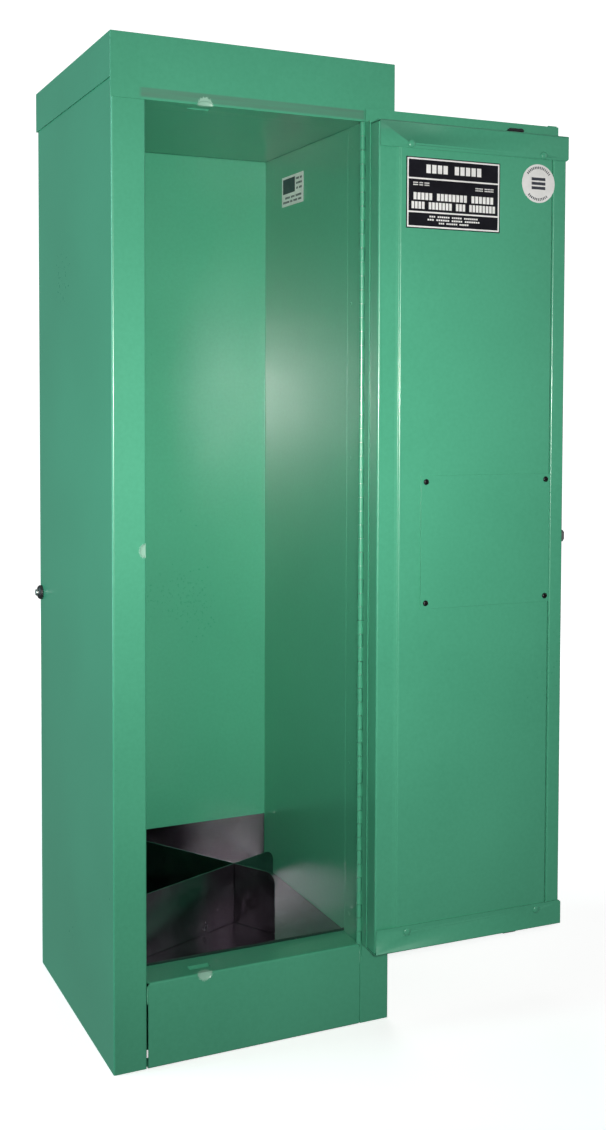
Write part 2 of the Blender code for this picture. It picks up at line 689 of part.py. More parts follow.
def build_handle(door):
    """Recessed tray in the outer skin, with the paddle, its pin, and the key lock."""
    rim = SKIN_INNER + SHEET + GAP
    outline = rounded_box((TRAY_U[0] - TRAY_RIM, TRAY_Z[0] - TRAY_RIM),
                          (TRAY_U[1] + TRAY_RIM, TRAY_Z[1] + TRAY_RIM), 6 * MM)
    tray = mesh_object("handle_tray", prism_mesh(outline, "Y", rim, rim + SHEET), zinc_plate(), door)
    add(tray, box_mesh((TRAY_U[0], TRAY_FLOOR, TRAY_Z[0]), (TRAY_U[1], rim + SHEET * 0.5, TRAY_Z[1])))
    cut(tray, box_mesh((TRAY_U[0] + SHEET, TRAY_FLOOR + SHEET, TRAY_Z[0] + SHEET),
                       (TRAY_U[1] - SHEET, 9 * MM, TRAY_Z[1] - SHEET)))
    cut(tray, finger_window(TRAY_FLOOR - 5 * MM, TRAY_FLOOR + 5 * MM))
    cut(tray, prism_mesh(circle(LOCK_RADIUS + 0.4 * MM, (LOCK_U, LOCK_Z), 20), "Y",
                         TRAY_FLOOR - 5 * MM, TRAY_FLOOR + 5 * MM))
    cut(tray, prism_mesh(circle(PADDLE_PIN_RADIUS + GAP, (PADDLE_PIVOT_V, PADDLE_PIVOT_Z), 12), "X",
                         TRAY_U[0] - 5 * MM, TRAY_U[1] + 5 * MM))
    pin = prism_mesh(circle(PADDLE_PIN_RADIUS, (PADDLE_PIVOT_V, PADDLE_PIVOT_Z), 12), "X",
                     TRAY_U[0] - 1.5 * MM, TRAY_U[1] + 1.5 * MM)
    round_smooth(mesh_object("paddle_pin", pin, zinc_plate(), door))
    build_paddle(door)
    build_lock(door)


def finger_window(low, high):
    return box_mesh((FINGER_U[0] - 2 * MM, low, PADDLE_PIVOT_Z - 18 * MM),
                    (FINGER_U[1] + 2 * MM, high, PADDLE_PIVOT_Z + 3 * MM))


def build_paddle(door):
    """The flush paddle: it hangs from its pin, and its finger reaches in to the hub."""
    v, z = PADDLE_PIVOT_V, PADDLE_PIVOT_Z
    outline = [(v + 5.5 * MM, z + 4.2 * MM), (v, z + 4.2 * MM), (v - 3.6 * MM, z + 2.1 * MM),
               (v - 4.2 * MM, z), (v - 3.6 * MM, z - 2.1 * MM), (v, z - 4.2 * MM),
               (v + 2.6 * MM, z - 6.5 * MM),
               (v + 2.6 * MM, z - 50 * MM), (v - 1.4 * MM, z - 54 * MM), (v - 1.4 * MM, z - 57 * MM),
               (v + 1.0 * MM, z - 58 * MM), (v + 5.5 * MM, z - 54 * MM)]
    paddle = mesh_object("paddle", prism_mesh(outline, "X", TRAY_U[0] + 3 * MM, TRAY_U[1] - 3 * MM),
                         black_plastic(), door)
    finger = [(v - 2.8 * MM, z), (v - 2.8 * MM, z - 3.6 * MM), (v - 20 * MM, z - 4 * MM), (v - 20 * MM, z)]
    add(paddle, prism_mesh(finger, "X", *FINGER_U))
    cut(paddle, prism_mesh(circle(PADDLE_PIN_RADIUS + GAP, (v, z), 12), "X", TRAY_U[0], TRAY_U[1]))


def build_lock(door):
    """Key lock: fixed barrel, turning plug with a key slot, and the cam behind."""
    centre = (LOCK_U, LOCK_Z)
    shell = prism_mesh(circle(LOCK_RADIUS, centre, 20), "Y", -30.5 * MM, -9.5 * MM)
    barrel = mesh_object("lock_barrel", shell, zinc_plate(), door)
    cut(barrel, prism_mesh(circle(PLUG_RADIUS + GAP, centre, 20), "Y", -33 * MM, -5 * MM))
    plug = mesh_object("lock_plug", prism_mesh(circle(PLUG_RADIUS, centre, 20), "Y", -31.3 * MM, -9.2 * MM),
                       zinc_plate(), door)
    cut(plug, box_mesh((LOCK_U - 0.7 * MM, -14 * MM, LOCK_Z - 3.6 * MM),
                       (LOCK_U + 0.7 * MM, -5 * MM, LOCK_Z + 3.6 * MM)))
    cam = rounded_box((LOCK_U - 5 * MM, LOCK_Z - 24 * MM), (LOCK_U + 5 * MM, LOCK_Z + 5 * MM), 4.5 * MM)
    mesh_object("lock_cam", prism_mesh(cam, "Y", *CAM_V), zinc_plate(), door)
    for thing in (barrel, plug):
        round_smooth(thing)


def build_latch_plate(door):
    high = TRAY_FLOOR - GAP
    plate = mesh_object("latch_plate", box_mesh((152 * MM, high - SHEET, 498 * MM),
                                                (248 * MM, high, 622 * MM)), zinc_plate(), door)
    cut(plate, finger_window(high - 9 * MM, high + 9 * MM))
    cut(plate, prism_mesh(circle(LOCK_RADIUS + 0.4 * MM, (LOCK_U, LOCK_Z), 20), "Y",
                          high - 9 * MM, high + 9 * MM))
    start = high - SHEET - GAP
    neck = start - HUB_V[0] + 0.4 * MM
    stud = [(0, 0), (4.0 * MM, 0), (4.0 * MM, neck), (6.0 * MM, neck),
            (6.0 * MM, neck + 1.6 * MM), (0, neck + 1.6 * MM)]
    pivot = aim(turned_mesh(stud, 16), (0, -1, 0), (HUB_U, start, HUB_Z))
    round_smooth(mesh_object("hub_pivot", pivot, zinc_plate(), door))


def build_hub(door):
    """Three-armed hub: it pulls the two rods and the middle bolt in together."""
    u, z = HUB_U, HUB_Z
    outline = [(u - ROD_ARM - 5 * MM, z - 5 * MM), (u - 9 * MM, z - 5 * MM), (u - 5 * MM, z - 9 * MM),
               (u - 5 * MM, z - BOLT_ARM - 5 * MM), (u + 5 * MM, z - BOLT_ARM - 5 * MM),
               (u + 5 * MM, z - 9 * MM), (u + 9 * MM, z - 5 * MM),
               (FINGER_U[1] + 3 * MM, z - 5 * MM), (FINGER_U[1] + 3 * MM, z + 5 * MM),
               (u + 6 * MM, z + 5 * MM), (u, z + 9 * MM), (u - 6 * MM, z + 5 * MM),
               (u - ROD_ARM - 5 * MM, z + 5 * MM)]
    hub = mesh_object("latch_hub", prism_mesh(outline, "Y", *HUB_V), zinc_plate(), door)
    for arm in (-ROD_ARM, ROD_ARM):
        add(hub, prism_mesh(circle(LATCH_PIN, (u + arm, z), 12), "Y",
                            HUB_V[1] - 1 * MM, ROD_V[1] + 0.3 * MM))
    add(hub, prism_mesh(circle(LATCH_PIN, (u, z - BOLT_ARM), 12), "Y",
                        BOLT_V[0] - 0.3 * MM, HUB_V[0] + 1 * MM))
    cut(hub, prism_mesh(circle(4.3 * MM, (u, z), 16), "Y", HUB_V[0] - 5 * MM, HUB_V[1] + 5 * MM))


def build_middle_bolt(door):
    """Flat sprung bolt; its tip slopes on the side that meets the frame first."""
    chamfer = 3.0 * MM
    slope = 4.5 * MM
    low, high = BOLT_Z - BOLT_HALF, BOLT_Z + BOLT_HALF
    outline = [(BOLT_TAIL, low), (BOLT_END - chamfer, low), (BOLT_END, low + chamfer),
               (BOLT_END, high - chamfer), (BOLT_END - chamfer, high), (BOLT_TAIL, high)]
    bolt = mesh_object("middle_bolt", prism_mesh(outline, "Y", *BOLT_V), zinc_plate(), door)
    wedge = [(BOLT_END - slope, BOLT_V[0] - 0.5 * MM), (BOLT_END + 1 * MM, BOLT_V[0] - 0.5 * MM),
             (BOLT_END + 1 * MM, BOLT_V[1] - 0.6 * MM)]
    cut(bolt, prism_mesh(wedge, "Z", low - 1 * MM, high + 1 * MM))
    cut(bolt, box_mesh((HUB_U - PIN_SLOT, BOLT_V[0] - 2 * MM, BOLT_Z - PIN_SLOT),
                       (HUB_U + PIN_SLOT, BOLT_V[1] + 2 * MM, BOLT_Z + PIN_SLOT + 2.2 * MM)))
    web = 240.0 * MM
    foot = TRAY_FLOOR - GAP - SHEET - GAP
    guide = mesh_object("bolt_guide", box_mesh((web, -34 * MM, BOLT_Z - 14 * MM),
                                               (web + SHEET, foot, BOLT_Z + 13 * MM)), zinc_plate(), door)
    add(guide, box_mesh((226 * MM, foot - SHEET, BOLT_Z - 14 * MM),
                        (web + SHEET / 2, foot, BOLT_Z + 13 * MM)))
    slack = 0.4 * MM
    cut(guide, box_mesh((web - 5 * MM, BOLT_V[0] - slack, low - slack),
                        (web + 5 * MM, BOLT_V[1] + slack, high + slack)))


def build_rod(door, prefix, way, end):
    """A flat latch rod with its foot on the hub, its spring, guide and nylon tip. way is 1 up, -1 down."""
    u, half, head = HUB_U, ROD_HALF, ROD_HEAD_HALF
    foot = HUB_U + way * ROD_ARM
    reach = end + way * (ROD_REACH - TIP_LENGTH - GAP)
    guide = end - way * GUIDE_OFFSET
    near = guide + way * SPRING_PLAY
    ear = near + way * (SPRING_LENGTH + 2 * MM)

    def at(offset):
        return HUB_Z + way * offset

    outline = [(foot - 7 * MM, at(-8 * MM)), (foot + 7 * MM, at(-8 * MM)), (foot + 7 * MM, at(42 * MM)),
               (u + half, at(58 * MM)), (u + half, ear), (u + head, ear), (u + head, ear + way * 5 * MM),
               (u + half, ear + way * 5 * MM), (u + half, end - way * 30 * MM),
               (u + head, end - way * 24 * MM), (u + head, reach), (u - head, reach),
               (u - head, end - way * 24 * MM), (u - half, end - way * 30 * MM),
               (u - half, ear + way * 5 * MM), (u - head, ear + way * 5 * MM), (u - head, ear),
               (u - half, ear), (u - half, at(58 * MM)), (foot - 7 * MM, at(42 * MM))]
    rod = mesh_object(f"{prefix}_rod", prism_mesh(outline, "Y", *ROD_V), zinc_plate(), door)
    inwards = -way * 2.2 * MM
    slot_low = foot - PIN_SLOT + min(0.0, inwards)
    slot_high = foot + PIN_SLOT + max(0.0, inwards)
    cut(rod, box_mesh((slot_low, ROD_V[0] - 2 * MM, HUB_Z - PIN_SLOT),
                      (slot_high, ROD_V[1] + 2 * MM, HUB_Z + PIN_SLOT)))
    build_rod_tip(door, prefix, way, end)
    build_rod_guide(door, prefix, way, guide)
    build_spring(door, prefix, min(near, near + way * SPRING_LENGTH))


def build_rod_tip(door, prefix, way, end):
    u, head = HUB_U, ROD_HEAD_HALF
    top = end + way * ROD_REACH
    base = top - way * TIP_LENGTH
    tip = [(u - head, base), (u + head, base), (u + head, base + way * 1.2 * MM), (u + head - 1.6 * MM, top),
           (u - head + 1.6 * MM, top), (u - head, base + way * 1.2 * MM)]
    thick = 1.2 * MM
    mesh_object(f"{prefix}_rod_tip", prism_mesh(tip, "Y", ROD_V[0] - thick, ROD_V[1] + thick),
                black_plastic(), door)


def build_rod_guide(door, prefix, way, level):
    """An angle bracket on the skin, with a slot that the rod slides in and a seat for its spring."""
    plate = 2.0 * MM
    outer = SKIN_INNER - GAP
    low, high = sorted((level, level + way * plate))
    guide = mesh_object(f"{prefix}_rod_guide", box_mesh((HUB_U - 16 * MM, -32 * MM, low),
                                                        (HUB_U + 16 * MM, outer, high)), zinc_plate(), door)
    foot_low, foot_high = sorted((level + way * plate * 0.5, level - way * 22 * MM))
    add(guide, box_mesh((HUB_U - 16 * MM, outer - SHEET, foot_low), (HUB_U + 16 * MM, outer, foot_high)))
    slack = 0.5 * MM
    cut(guide, box_mesh((HUB_U - ROD_HALF - slack, ROD_V[0] - slack, low - 5 * MM),
                        (HUB_U + ROD_HALF + slack, ROD_V[1] + slack, high + 5 * MM)))


def build_spring(door, prefix, start):
    """A coil spring round the rod, between its guide and the rod's ears."""
    per_turn, sides = 12, 5
    count = SPRING_TURNS * per_turn
    pitch = (SPRING_LENGTH - 2 * SPRING_WIRE) / SPRING_TURNS
    bm = bmesh.new()
    rings = []
    for step in range(count + 1):
        angle = 2 * math.pi * step / per_turn
        out = Vector((math.cos(angle), math.sin(angle), 0))
        climb = start + SPRING_WIRE + pitch * step / per_turn
        centre = Vector((HUB_U, ROD_CENTRE_V, climb)) + out * SPRING_RADIUS
        rings.append([bm.verts.new(centre + SPRING_WIRE * (out * math.cos(a) + Vector((0, 0, math.sin(a)))))
                      for a in [2 * math.pi * k / sides for k in range(sides)]])
    for before, after in zip(rings, rings[1:]):
        for k in range(sides):
            nxt = (k + 1) % sides
            bm.faces.new([before[k], before[nxt], after[nxt], after[k]])
    bm.faces.new(rings[0])
    bm.faces.new(rings[-1][::-1])
    round_smooth(mesh_object(f"{prefix}_rod_spring", bm, zinc_plate(), door), 60)


# ---------------------------------------------------------------- the model

def main():
    clear_scene()
    build_shell()
    build_liner()
    build_rack()
    build_earth_terminal()
    build_inner_label()
    door = bpy.data.objects.new("door_axis", None)
    bpy.context.scene.collection.objects.link(door)
    door.location = (HINGE_X, HINGE_Y, 0.0)
    door.rotation_euler = (0.0, 0.0, -OPEN_LEAN)
    build_hinge(door)
    build_door_shell(door)
    build_door_fittings(door)
    build_handle(door)
    build_latch_plate(door)
    build_hub(door)
    build_middle_bolt(door)
    build_rod(door, "top", 1, PAN_TOP)
    build_rod(door, "bottom", -1, PAN_BOTTOM)


main()
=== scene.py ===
import json
import math

import bmesh
import bpy
from mathutils import Matrix, Vector

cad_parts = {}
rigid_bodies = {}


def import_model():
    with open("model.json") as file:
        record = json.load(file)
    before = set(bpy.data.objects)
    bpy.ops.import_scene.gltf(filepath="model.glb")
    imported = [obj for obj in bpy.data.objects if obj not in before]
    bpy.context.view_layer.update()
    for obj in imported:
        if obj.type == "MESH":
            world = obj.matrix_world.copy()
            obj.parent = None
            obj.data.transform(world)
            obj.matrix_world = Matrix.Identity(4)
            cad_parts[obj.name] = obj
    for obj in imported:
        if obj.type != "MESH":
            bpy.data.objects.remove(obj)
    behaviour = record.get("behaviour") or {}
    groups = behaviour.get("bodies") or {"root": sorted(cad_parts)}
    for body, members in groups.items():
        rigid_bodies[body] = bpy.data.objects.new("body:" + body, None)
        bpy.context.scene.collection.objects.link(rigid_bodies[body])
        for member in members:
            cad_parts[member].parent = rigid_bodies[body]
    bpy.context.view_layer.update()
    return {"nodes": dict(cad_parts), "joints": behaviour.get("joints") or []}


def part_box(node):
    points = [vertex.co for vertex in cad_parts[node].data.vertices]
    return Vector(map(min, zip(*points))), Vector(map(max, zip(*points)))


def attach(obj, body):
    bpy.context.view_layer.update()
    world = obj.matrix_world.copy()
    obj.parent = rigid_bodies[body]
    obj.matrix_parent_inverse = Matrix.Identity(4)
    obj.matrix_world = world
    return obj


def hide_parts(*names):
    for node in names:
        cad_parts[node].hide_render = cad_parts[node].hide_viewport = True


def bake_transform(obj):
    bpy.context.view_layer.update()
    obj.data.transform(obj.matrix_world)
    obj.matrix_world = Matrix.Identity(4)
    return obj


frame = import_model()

MM = 0.001
NODES = frame["nodes"]

# The open door leans by this much off the line of the front, about the hinge's axis.
DOOR_LEAN = math.radians(1.4)
HINGE = next(joint for joint in frame["joints"] if joint["name"] == "door_hinge")["pos_m"]
DOOR = Matrix.Translation((HINGE[0], HINGE[1], 0.0)) @ Matrix.Rotation(-DOOR_LEAN, 4, "Z")
HOME = Matrix.Identity(4)

# Sheet metal: the folds' outside radius, the cut edges' rounding, and the least width of a sheet's face
SHEET = 1.2 * MM
FOLD_RADIUS = 1.05 * MM
CUT_RADIUS = 0.22 * MM
BROAD = 4.0 * MM
SMOOTH_LIMIT = math.radians(38)

# Continuous hinge
KNUCKLES = 60
KNUCKLE_RADIUS = 3.175 * MM
KNUCKLE_SHEET = 1.2 * MM
KNUCKLE_PLAY = 0.3 * MM
LEAF_NOTCH = 4.2 * MM
LEAF_WIDTH = 15.6 * MM

# Where the rods' tips and the bolt first meet the frame, on its front face
ROD_MIDDLE = sum(corner.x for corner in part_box("top_rod_guide")) / 2 - HINGE[0]
BOLT_LEVEL = sum(corner.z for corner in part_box("middle_bolt")) / 2
HEADER_SPOT = Vector((HINGE[0] - ROD_MIDDLE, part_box("top_cap")[0].y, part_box("top_cap")[0].z))
SILL_SPOT = Vector((HINGE[0] - ROD_MIDDLE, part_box("toe_panel")[0].y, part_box("toe_panel")[1].z))
JAMB_SPOT = Vector((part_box("left_side_panel")[1].x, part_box("left_side_panel")[0].y, BOLT_LEVEL))

# How far behind that face they rest when the door is shut, and the wall of the pans that take them
ROD_DEPTH = 18.4 * MM
BOLT_DEPTH = 25.1 * MM
PAN_WALL = 0.8 * MM


# ---------------------------------------------------------------- materials

class Finish:
    """A material under construction, with short ways to add and link its nodes."""

    def __init__(self, name, **values):
        self.material = bpy.data.materials.new(name)
        self.material.use_nodes = True
        self.tree = self.material.node_tree
        self.shader = self.tree.nodes["Principled BSDF"]
        for socket, value in values.items():
            self.shader.inputs[socket.replace("_", " ")].default_value = value
        self.place = self.tree.nodes.new("ShaderNodeTexCoord").outputs["Object"]

    def add(self, kind, inputs, output, **settings):
        """A new node; inputs are values or other nodes' outputs. Gives back one of its outputs."""
        node = self.tree.nodes.new(kind)
        for key, value in settings.items():
            setattr(node, key, value)
        for key, value in inputs.items():
            self.feed(node.inputs[key], value)
        return node.outputs[output]

    def feed(self, socket, value):
        """Links another node's output to the socket, or sets a plain value there."""
        if isinstance(value, bpy.types.NodeSocket):
            self.tree.links.new(value, socket)
        else:
            socket.default_value = value

    def noise(self, scale, detail=2.0, stretch=(1.0, 1.0, 1.0), rough=0.5):
        """Noise in the object's own coordinates, which stretch scales first along each axis."""
        place = self.add("ShaderNodeMapping", {"Vector": self.place, "Scale": stretch}, "Vector")
        return self.add("ShaderNodeTexNoise", {"Vector": place, "Scale": scale, "Detail": detail,
                                               "Roughness": rough}, "Fac")

    def ramp(self, value, low, high, to_low=0.0, to_high=1.0):
        """The value mapped from one range to another, and held at its ends."""
        return self.add("ShaderNodeMapRange", {"Value": value, "From Min": low, "From Max": high,
                                               "To Min": to_low, "To Max": to_high}, "Result")

    def blend(self, share, first, second):
        """A colour that goes from the first to the second as share goes from 0 to 1."""
        node = self.tree.nodes.new("ShaderNodeMix")
        node.data_type = "RGBA"
        for key, value in ((0, share), (6, first), (7, second)):
            self.feed(node.inputs[key], value)
        return node.outputs[2]

    def maths(self, operation, first, second):
        node = self.tree.nodes.new("ShaderNodeMath")
        node.operation = operation
        self.feed(node.inputs[0], first)
        self.feed(node.inputs[1], second)
        return node.outputs[0]

    def bump(self, height, depth, under=None):
        """A normal bumped by height, on top of another one if `under` gives it."""
        inputs = {"Height": height, "Distance": depth, "Strength": 1.0}
        if under is not None:
            inputs["Normal"] = under
        return self.add("ShaderNodeBump", inputs, "Normal")

    def set(self, **values):
        """Feeds the shader's own sockets. Gives back the finished material."""
        for socket, value in values.items():
            self.feed(self.shader.inputs[socket.replace("_", " ")], value)
        return self.material

    def band(self, axis, low, high, soft):
        """1 between two levels of one coordinate, falling to 0 over `soft` outside them."""
        spot = self.add("ShaderNodeSeparateXYZ", {"Vector": self.place}, axis)
        rise = self.ramp(spot, low - soft, low)
        fall = self.ramp(spot, high, high + soft, 1.0, 0.0)
        return self.maths("MULTIPLY", rise, fall)


def enamel(name, rubbed=None, worn=None):
    """Baked green enamel: slow shade drift, fine mottle, orange peel and the sheet's slight waves.

    rubbed gives (axis, low, high, soft) bands whose product is a dulled, greyer rub mark.
    worn gives (centre, radius) of a ball inside which the enamel is painted pale: partly where the bolt's
    tip has rubbed it, partly a painted glint.
    """
    made = Finish(name, Coat_Weight=0.35, Coat_Roughness=0.16, Specular_IOR_Level=0.62)
    drift = made.noise(3.2, 3.0)
    mottle = made.noise(240.0, 2.0)
    share = made.maths("ADD", made.maths("MULTIPLY", drift, 0.7), made.maths("MULTIPLY", mottle, 0.3))
    colour = made.blend(made.ramp(share, 0.36, 0.64), (0.060, 0.335, 0.196, 1), (0.074, 0.385, 0.229, 1))
    roughness = made.ramp(share, 0.3, 0.7, 0.27, 0.32)
    if rubbed:
        mark = 1.0
        for axis, low, high, soft in rubbed:
            mark = made.maths("MULTIPLY", made.band(axis, low, high, soft), mark)
        streak = made.ramp(made.noise(60.0, 3.0, (0.15, 1.0, 4.0)), 0.35, 0.65, 0.7, 1.0)
        mark = made.maths("MULTIPLY", mark, streak)
        colour = made.blend(mark, colour, (0.082, 0.235, 0.158, 1))
        roughness = made.maths("ADD", roughness, made.maths("MULTIPLY", mark, 0.16))
    # Paler inside the ball: partly wear from the bolt's tip, partly a painted glint on the lead-in dimple
    if worn:
        away = made.add("ShaderNodeVectorMath", {0: made.place, 1: worn[0]}, "Value", operation="DISTANCE")
        jitter = made.ramp(made.noise(700.0, 4.0), 0.3, 0.7, -1.2 * MM, 1.2 * MM)
        ragged = made.maths("ADD", away, jitter)
        pale_wear_and_glint = made.ramp(ragged, worn[1] - 1.5 * MM, worn[1], 1.0, 0.0)
        colour = made.blend(pale_wear_and_glint, colour, (0.30, 0.55, 0.42, 1))
    waves = made.bump(made.noise(9.0, 1.0), 0.16 * MM)
    peel = made.bump(made.noise(420.0, 1.0), 0.004 * MM, under=waves)
    return made.set(Base_Color=colour, Roughness=roughness, Normal=peel)


def galvanised():
    """Bright zinc-coated sheet: flat spangle cells, faint rolling lines and scuffs."""
    made = Finish("galvanised_sheet", Metallic=1.0)
    warp = made.maths("MULTIPLY", made.noise(45.0, 2.0), 0.012)
    shift = made.add("ShaderNodeCombineXYZ", {"X": warp}, "Vector")
    spot = made.add("ShaderNodeVectorMath", {0: made.place, 1: shift}, "Vector", operation="ADD")
    cell = made.add("ShaderNodeTexVoronoi", {"Vector": spot, "Scale": 70.0}, "Color")
    shade = made.add("ShaderNodeSeparateColor", {"Color": cell}, "Red")
    rolled = made.noise(300.0, 3.0, (1.0, 1.0, 0.03))
    tone = made.maths("ADD", made.maths("MULTIPLY", shade, 0.7), made.maths("MULTIPLY", rolled, 0.3))
    colour = made.blend(tone, (0.17, 0.155, 0.175, 1), (0.24, 0.22, 0.245, 1))
    scuff = made.noise(18.0, 5.0, rough=0.65)
    dulled = made.ramp(scuff, 0.5, 0.8, 0.0, 0.10)
    rough = made.maths("ADD", made.ramp(tone, 0.0, 1.0, 0.16, 0.24), dulled)
    waves = made.bump(made.noise(8.0, 1.0), 0.06 * MM)
    grain = made.bump(tone, 0.012 * MM, under=waves)
    return made.set(Base_Color=colour, Roughness=rough, Normal=grain)


def zinc_plate():
    """Clear zinc plate on small steel parts, a little clouded."""
    made = Finish("zinc_plate_finish", Metallic=1.0)
    cloud = made.noise(160.0, 4.0, rough=0.6)
    colour = made.blend(made.ramp(cloud, 0.35, 0.65), (0.38, 0.39, 0.39, 1), (0.50, 0.49, 0.47, 1))
    rough = made.ramp(made.noise(420.0, 3.0), 0.3, 0.7, 0.34, 0.46)
    drawn = made.bump(made.noise(900.0, 2.0, (1.0, 1.0, 0.08)), 0.008 * MM)
    return made.set(Base_Color=colour, Roughness=rough, Normal=drawn)


def black_plastic():
    """Moulded black nylon with a fine leathery grain."""
    made = Finish("black_nylon", Specular_IOR_Level=0.45)
    grain = made.noise(1100.0, 3.0, rough=0.6)
    colour = made.blend(made.noise(40.0, 3.0), (0.010, 0.010, 0.012, 1), (0.026, 0.026, 0.029, 1))
    rough = made.ramp(grain, 0.3, 0.7, 0.36, 0.52)
    return made.set(Base_Color=colour, Roughness=rough, Normal=made.bump(grain, 0.03 * MM))


def black_oxide():
    """Blackened steel screws with rubbed, slightly brighter high spots."""
    made = Finish("black_oxide_steel", Metallic=0.75)
    worn = made.ramp(made.noise(500.0, 4.0, rough=0.65), 0.45, 0.75)
    colour = made.blend(worn, (0.014, 0.014, 0.016, 1), (0.060, 0.058, 0.056, 1))
    rough = made.ramp(worn, 0.0, 1.0, 0.30, 0.44)
    return made.set(Base_Color=colour, Roughness=rough, Normal=made.bump(worn, 0.01 * MM))


def vinyl(name, dark, light, rough, gloss=0.5):
    """Printed vinyl film between two close tones, with small handling scuffs."""
    made = Finish(name, Specular_IOR_Level=gloss)
    tone = made.ramp(made.noise(70.0, 4.0, rough=0.6), 0.35, 0.65)
    scuff = made.noise(260.0, 4.0, (1.0, 1.0, 0.2), 0.6)
    return made.set(Base_Color=made.blend(tone, dark, light),
                    Roughness=made.ramp(scuff, 0.3, 0.7, rough, rough + 0.14),
                    Normal=made.bump(scuff, 0.008 * MM))


def studio_paper():
    """The pale studio sweep; it glows away from the object, so that the backdrop stays even."""
    made = Finish("studio_paper", Roughness=0.9, Specular_IOR_Level=0.1,
                  Emission_Color=(1.0, 1.0, 1.0, 1.0))
    tone = made.ramp(made.noise(2.0, 3.0), 0.3, 0.7)
    away = made.add("ShaderNodeVectorMath", {0: made.place}, "Value", operation="LENGTH")
    return made.set(Base_Color=made.blend(tone, (0.86, 0.86, 0.86, 1), (0.89, 0.89, 0.89, 1)),
                    Emission_Strength=made.ramp(away, 0.6, 2.4, 0.60, 1.02),
                    Normal=made.bump(made.noise(300.0, 2.0), 0.02 * MM))


# ---------------------------------------------------------------- mesh tools

def mesh_object(name, bm, place=HOME):
    """An object with bm's mesh, moved to its place and with its faces turned outward."""
    bmesh.ops.transform(bm, matrix=place, verts=bm.verts)
    bmesh.ops.recalc_face_normals(bm, faces=bm.faces)
    mesh = bpy.data.meshes.new(name)
    bm.to_mesh(mesh)
    bm.free()
    made = bpy.data.objects.new(name, mesh)
    bpy.context.scene.collection.objects.link(made)
    return made


def piece(name, bm, finish, body, slot, *stands_for, place=HOME):
    """A finished piece from bm: smooth-shaded, riding its body, if any, and standing for CAD nodes."""
    made = mesh_object(name, bm, place)
    made.data.materials.append(finish)
    made.data.shade_smooth()
    made.data.set_sharp_from_angle(angle=SMOOTH_LIMIT)
    weighted = made.modifiers.new("weighted_normals", "WEIGHTED_NORMAL")
    weighted.keep_sharp = True
    weighted.weight = 100
    if body:
        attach(made, body)
    if stands_for:
        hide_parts(*stands_for)
    return made


def hidden_cutter(name, bm, place=HOME):
    """A closed mesh that only cuts other pieces."""
    made = mesh_object(name, bm, place)
    made.hide_render = True
    made.hide_viewport = True
    made.display_type = "WIRE"
    return made


def carve(target, cutter):
    """Cuts the cutter's shape out; the weighted normals stay last, so that flat faces shade flat."""
    modifier = target.modifiers.new(cutter.name, "BOOLEAN")
    modifier.operation = "DIFFERENCE"
    modifier.solver = "EXACT"
    modifier.object = cutter
    target.modifiers.move(target.modifiers.find("weighted_normals"), len(target.modifiers) - 1)


def box(bm, low, high):
    """A box between two corners. Gives back its vertices."""
    size = Vector(high) - Vector(low)
    place = Matrix.LocRotScale((Vector(high) + Vector(low)) / 2, None, size)
    return bmesh.ops.create_cube(bm, size=1.0, matrix=place)["verts"]


def slab(bm, outline, low, high):
    """The outline, in X and Y, extruded between two levels of Z."""
    near = [bm.verts.new((x, y, low)) for x, y in outline]
    far = [bm.verts.new((x, y, high)) for x, y in outline]
    bm.faces.new(near[::-1])
    bm.faces.new(far)
    for k in range(len(outline)):
        nxt = (k + 1) % len(outline)
        bm.faces.new([near[k], near[nxt], far[nxt], far[k]])


def ring(radius, sides):
    """Points evenly round a circle."""
    turn = 2 * math.pi / sides
    return [(radius * math.cos(turn * k), radius * math.sin(turn * k)) for k in range(sides)]


def lathe(bm, profile, steps=40):
    """A solid turned about Z from (radius, z) points that start and end on the axis.

    A point on the axis makes one vertex, which a face by it uses only once.
    """
    rows = [[bm.verts.new((x, y, z)) for x, y in ring(radius, steps)] if radius else
            [bm.verts.new((0, 0, z))] for radius, z in profile]
    for low, high in zip(rows, rows[1:]):
        for k in range(steps):
            nxt = (k + 1) % steps
            corners = [low[k % len(low)], low[nxt % len(low)], high[nxt % len(high)], high[k % len(high)]]
            bm.faces.new(list(dict.fromkeys(corners)))
    return [v for row in rows for v in row]


def aimed(direction, location):
    """The transform that points Z along a direction and moves the origin to a location."""
    turn = Vector((0, 0, 1)).rotation_difference(Vector(direction)).to_matrix().to_4x4()
    return Matrix.Translation(location) @ turn


def local_box(node):
    """A node's box in the door's own coordinates: along it, through it and up."""
    points = [DOOR.inverted() @ v.co for v in NODES[node].data.vertices]
    low = Vector([min(p[k] for p in points) for k in range(3)])
    high = Vector([max(p[k] for p in points) for k in range(3)])
    return low, high


def narrowness(face):
    """The width of a face across its longest edge."""
    longest = max(edge.calc_length() for edge in face.edges)
    return face.calc_area() / longest


def corners_over(bm, limit):
    """The outward edges whose faces meet at more than this many degrees."""
    return [edge for edge in bm.edges if edge.is_manifold and edge.is_convex
            and edge.calc_face_angle(0.0) > math.radians(limit)]


def soften(bm, edges, radius, segments):
    """Rounds the edges, if there are any."""
    if radius and edges:
        bmesh.ops.bevel(bm, geom=edges, offset=radius, segments=segments, profile=0.5, affect="EDGES",
                        clamp_overlap=True)


def refine(node, finish, fold=FOLD_RADIUS, cut=CUT_RADIUS):
    """The node's own shape with round folds and softened cut edges, in place of the plain node."""
    source = NODES[node]
    bm = bmesh.new()
    bm.from_mesh(source.data)
    bmesh.ops.remove_doubles(bm, verts=bm.verts, dist=0.002 * MM)
    bmesh.ops.dissolve_limit(bm, angle_limit=math.radians(0.5), verts=bm.verts, edges=bm.edges)
    folds = [edge for edge in corners_over(bm, 50)
             if min(narrowness(face) for face in edge.link_faces) > BROAD]
    soften(bm, folds, fold, 4)
    soften(bm, corners_over(bm, 50), cut, 2)
    body = source.parent.name.split(":")[1]
    slot = source.data.materials[0].name
    return piece(f"{node}_finished", bm, finish, body, slot, node)


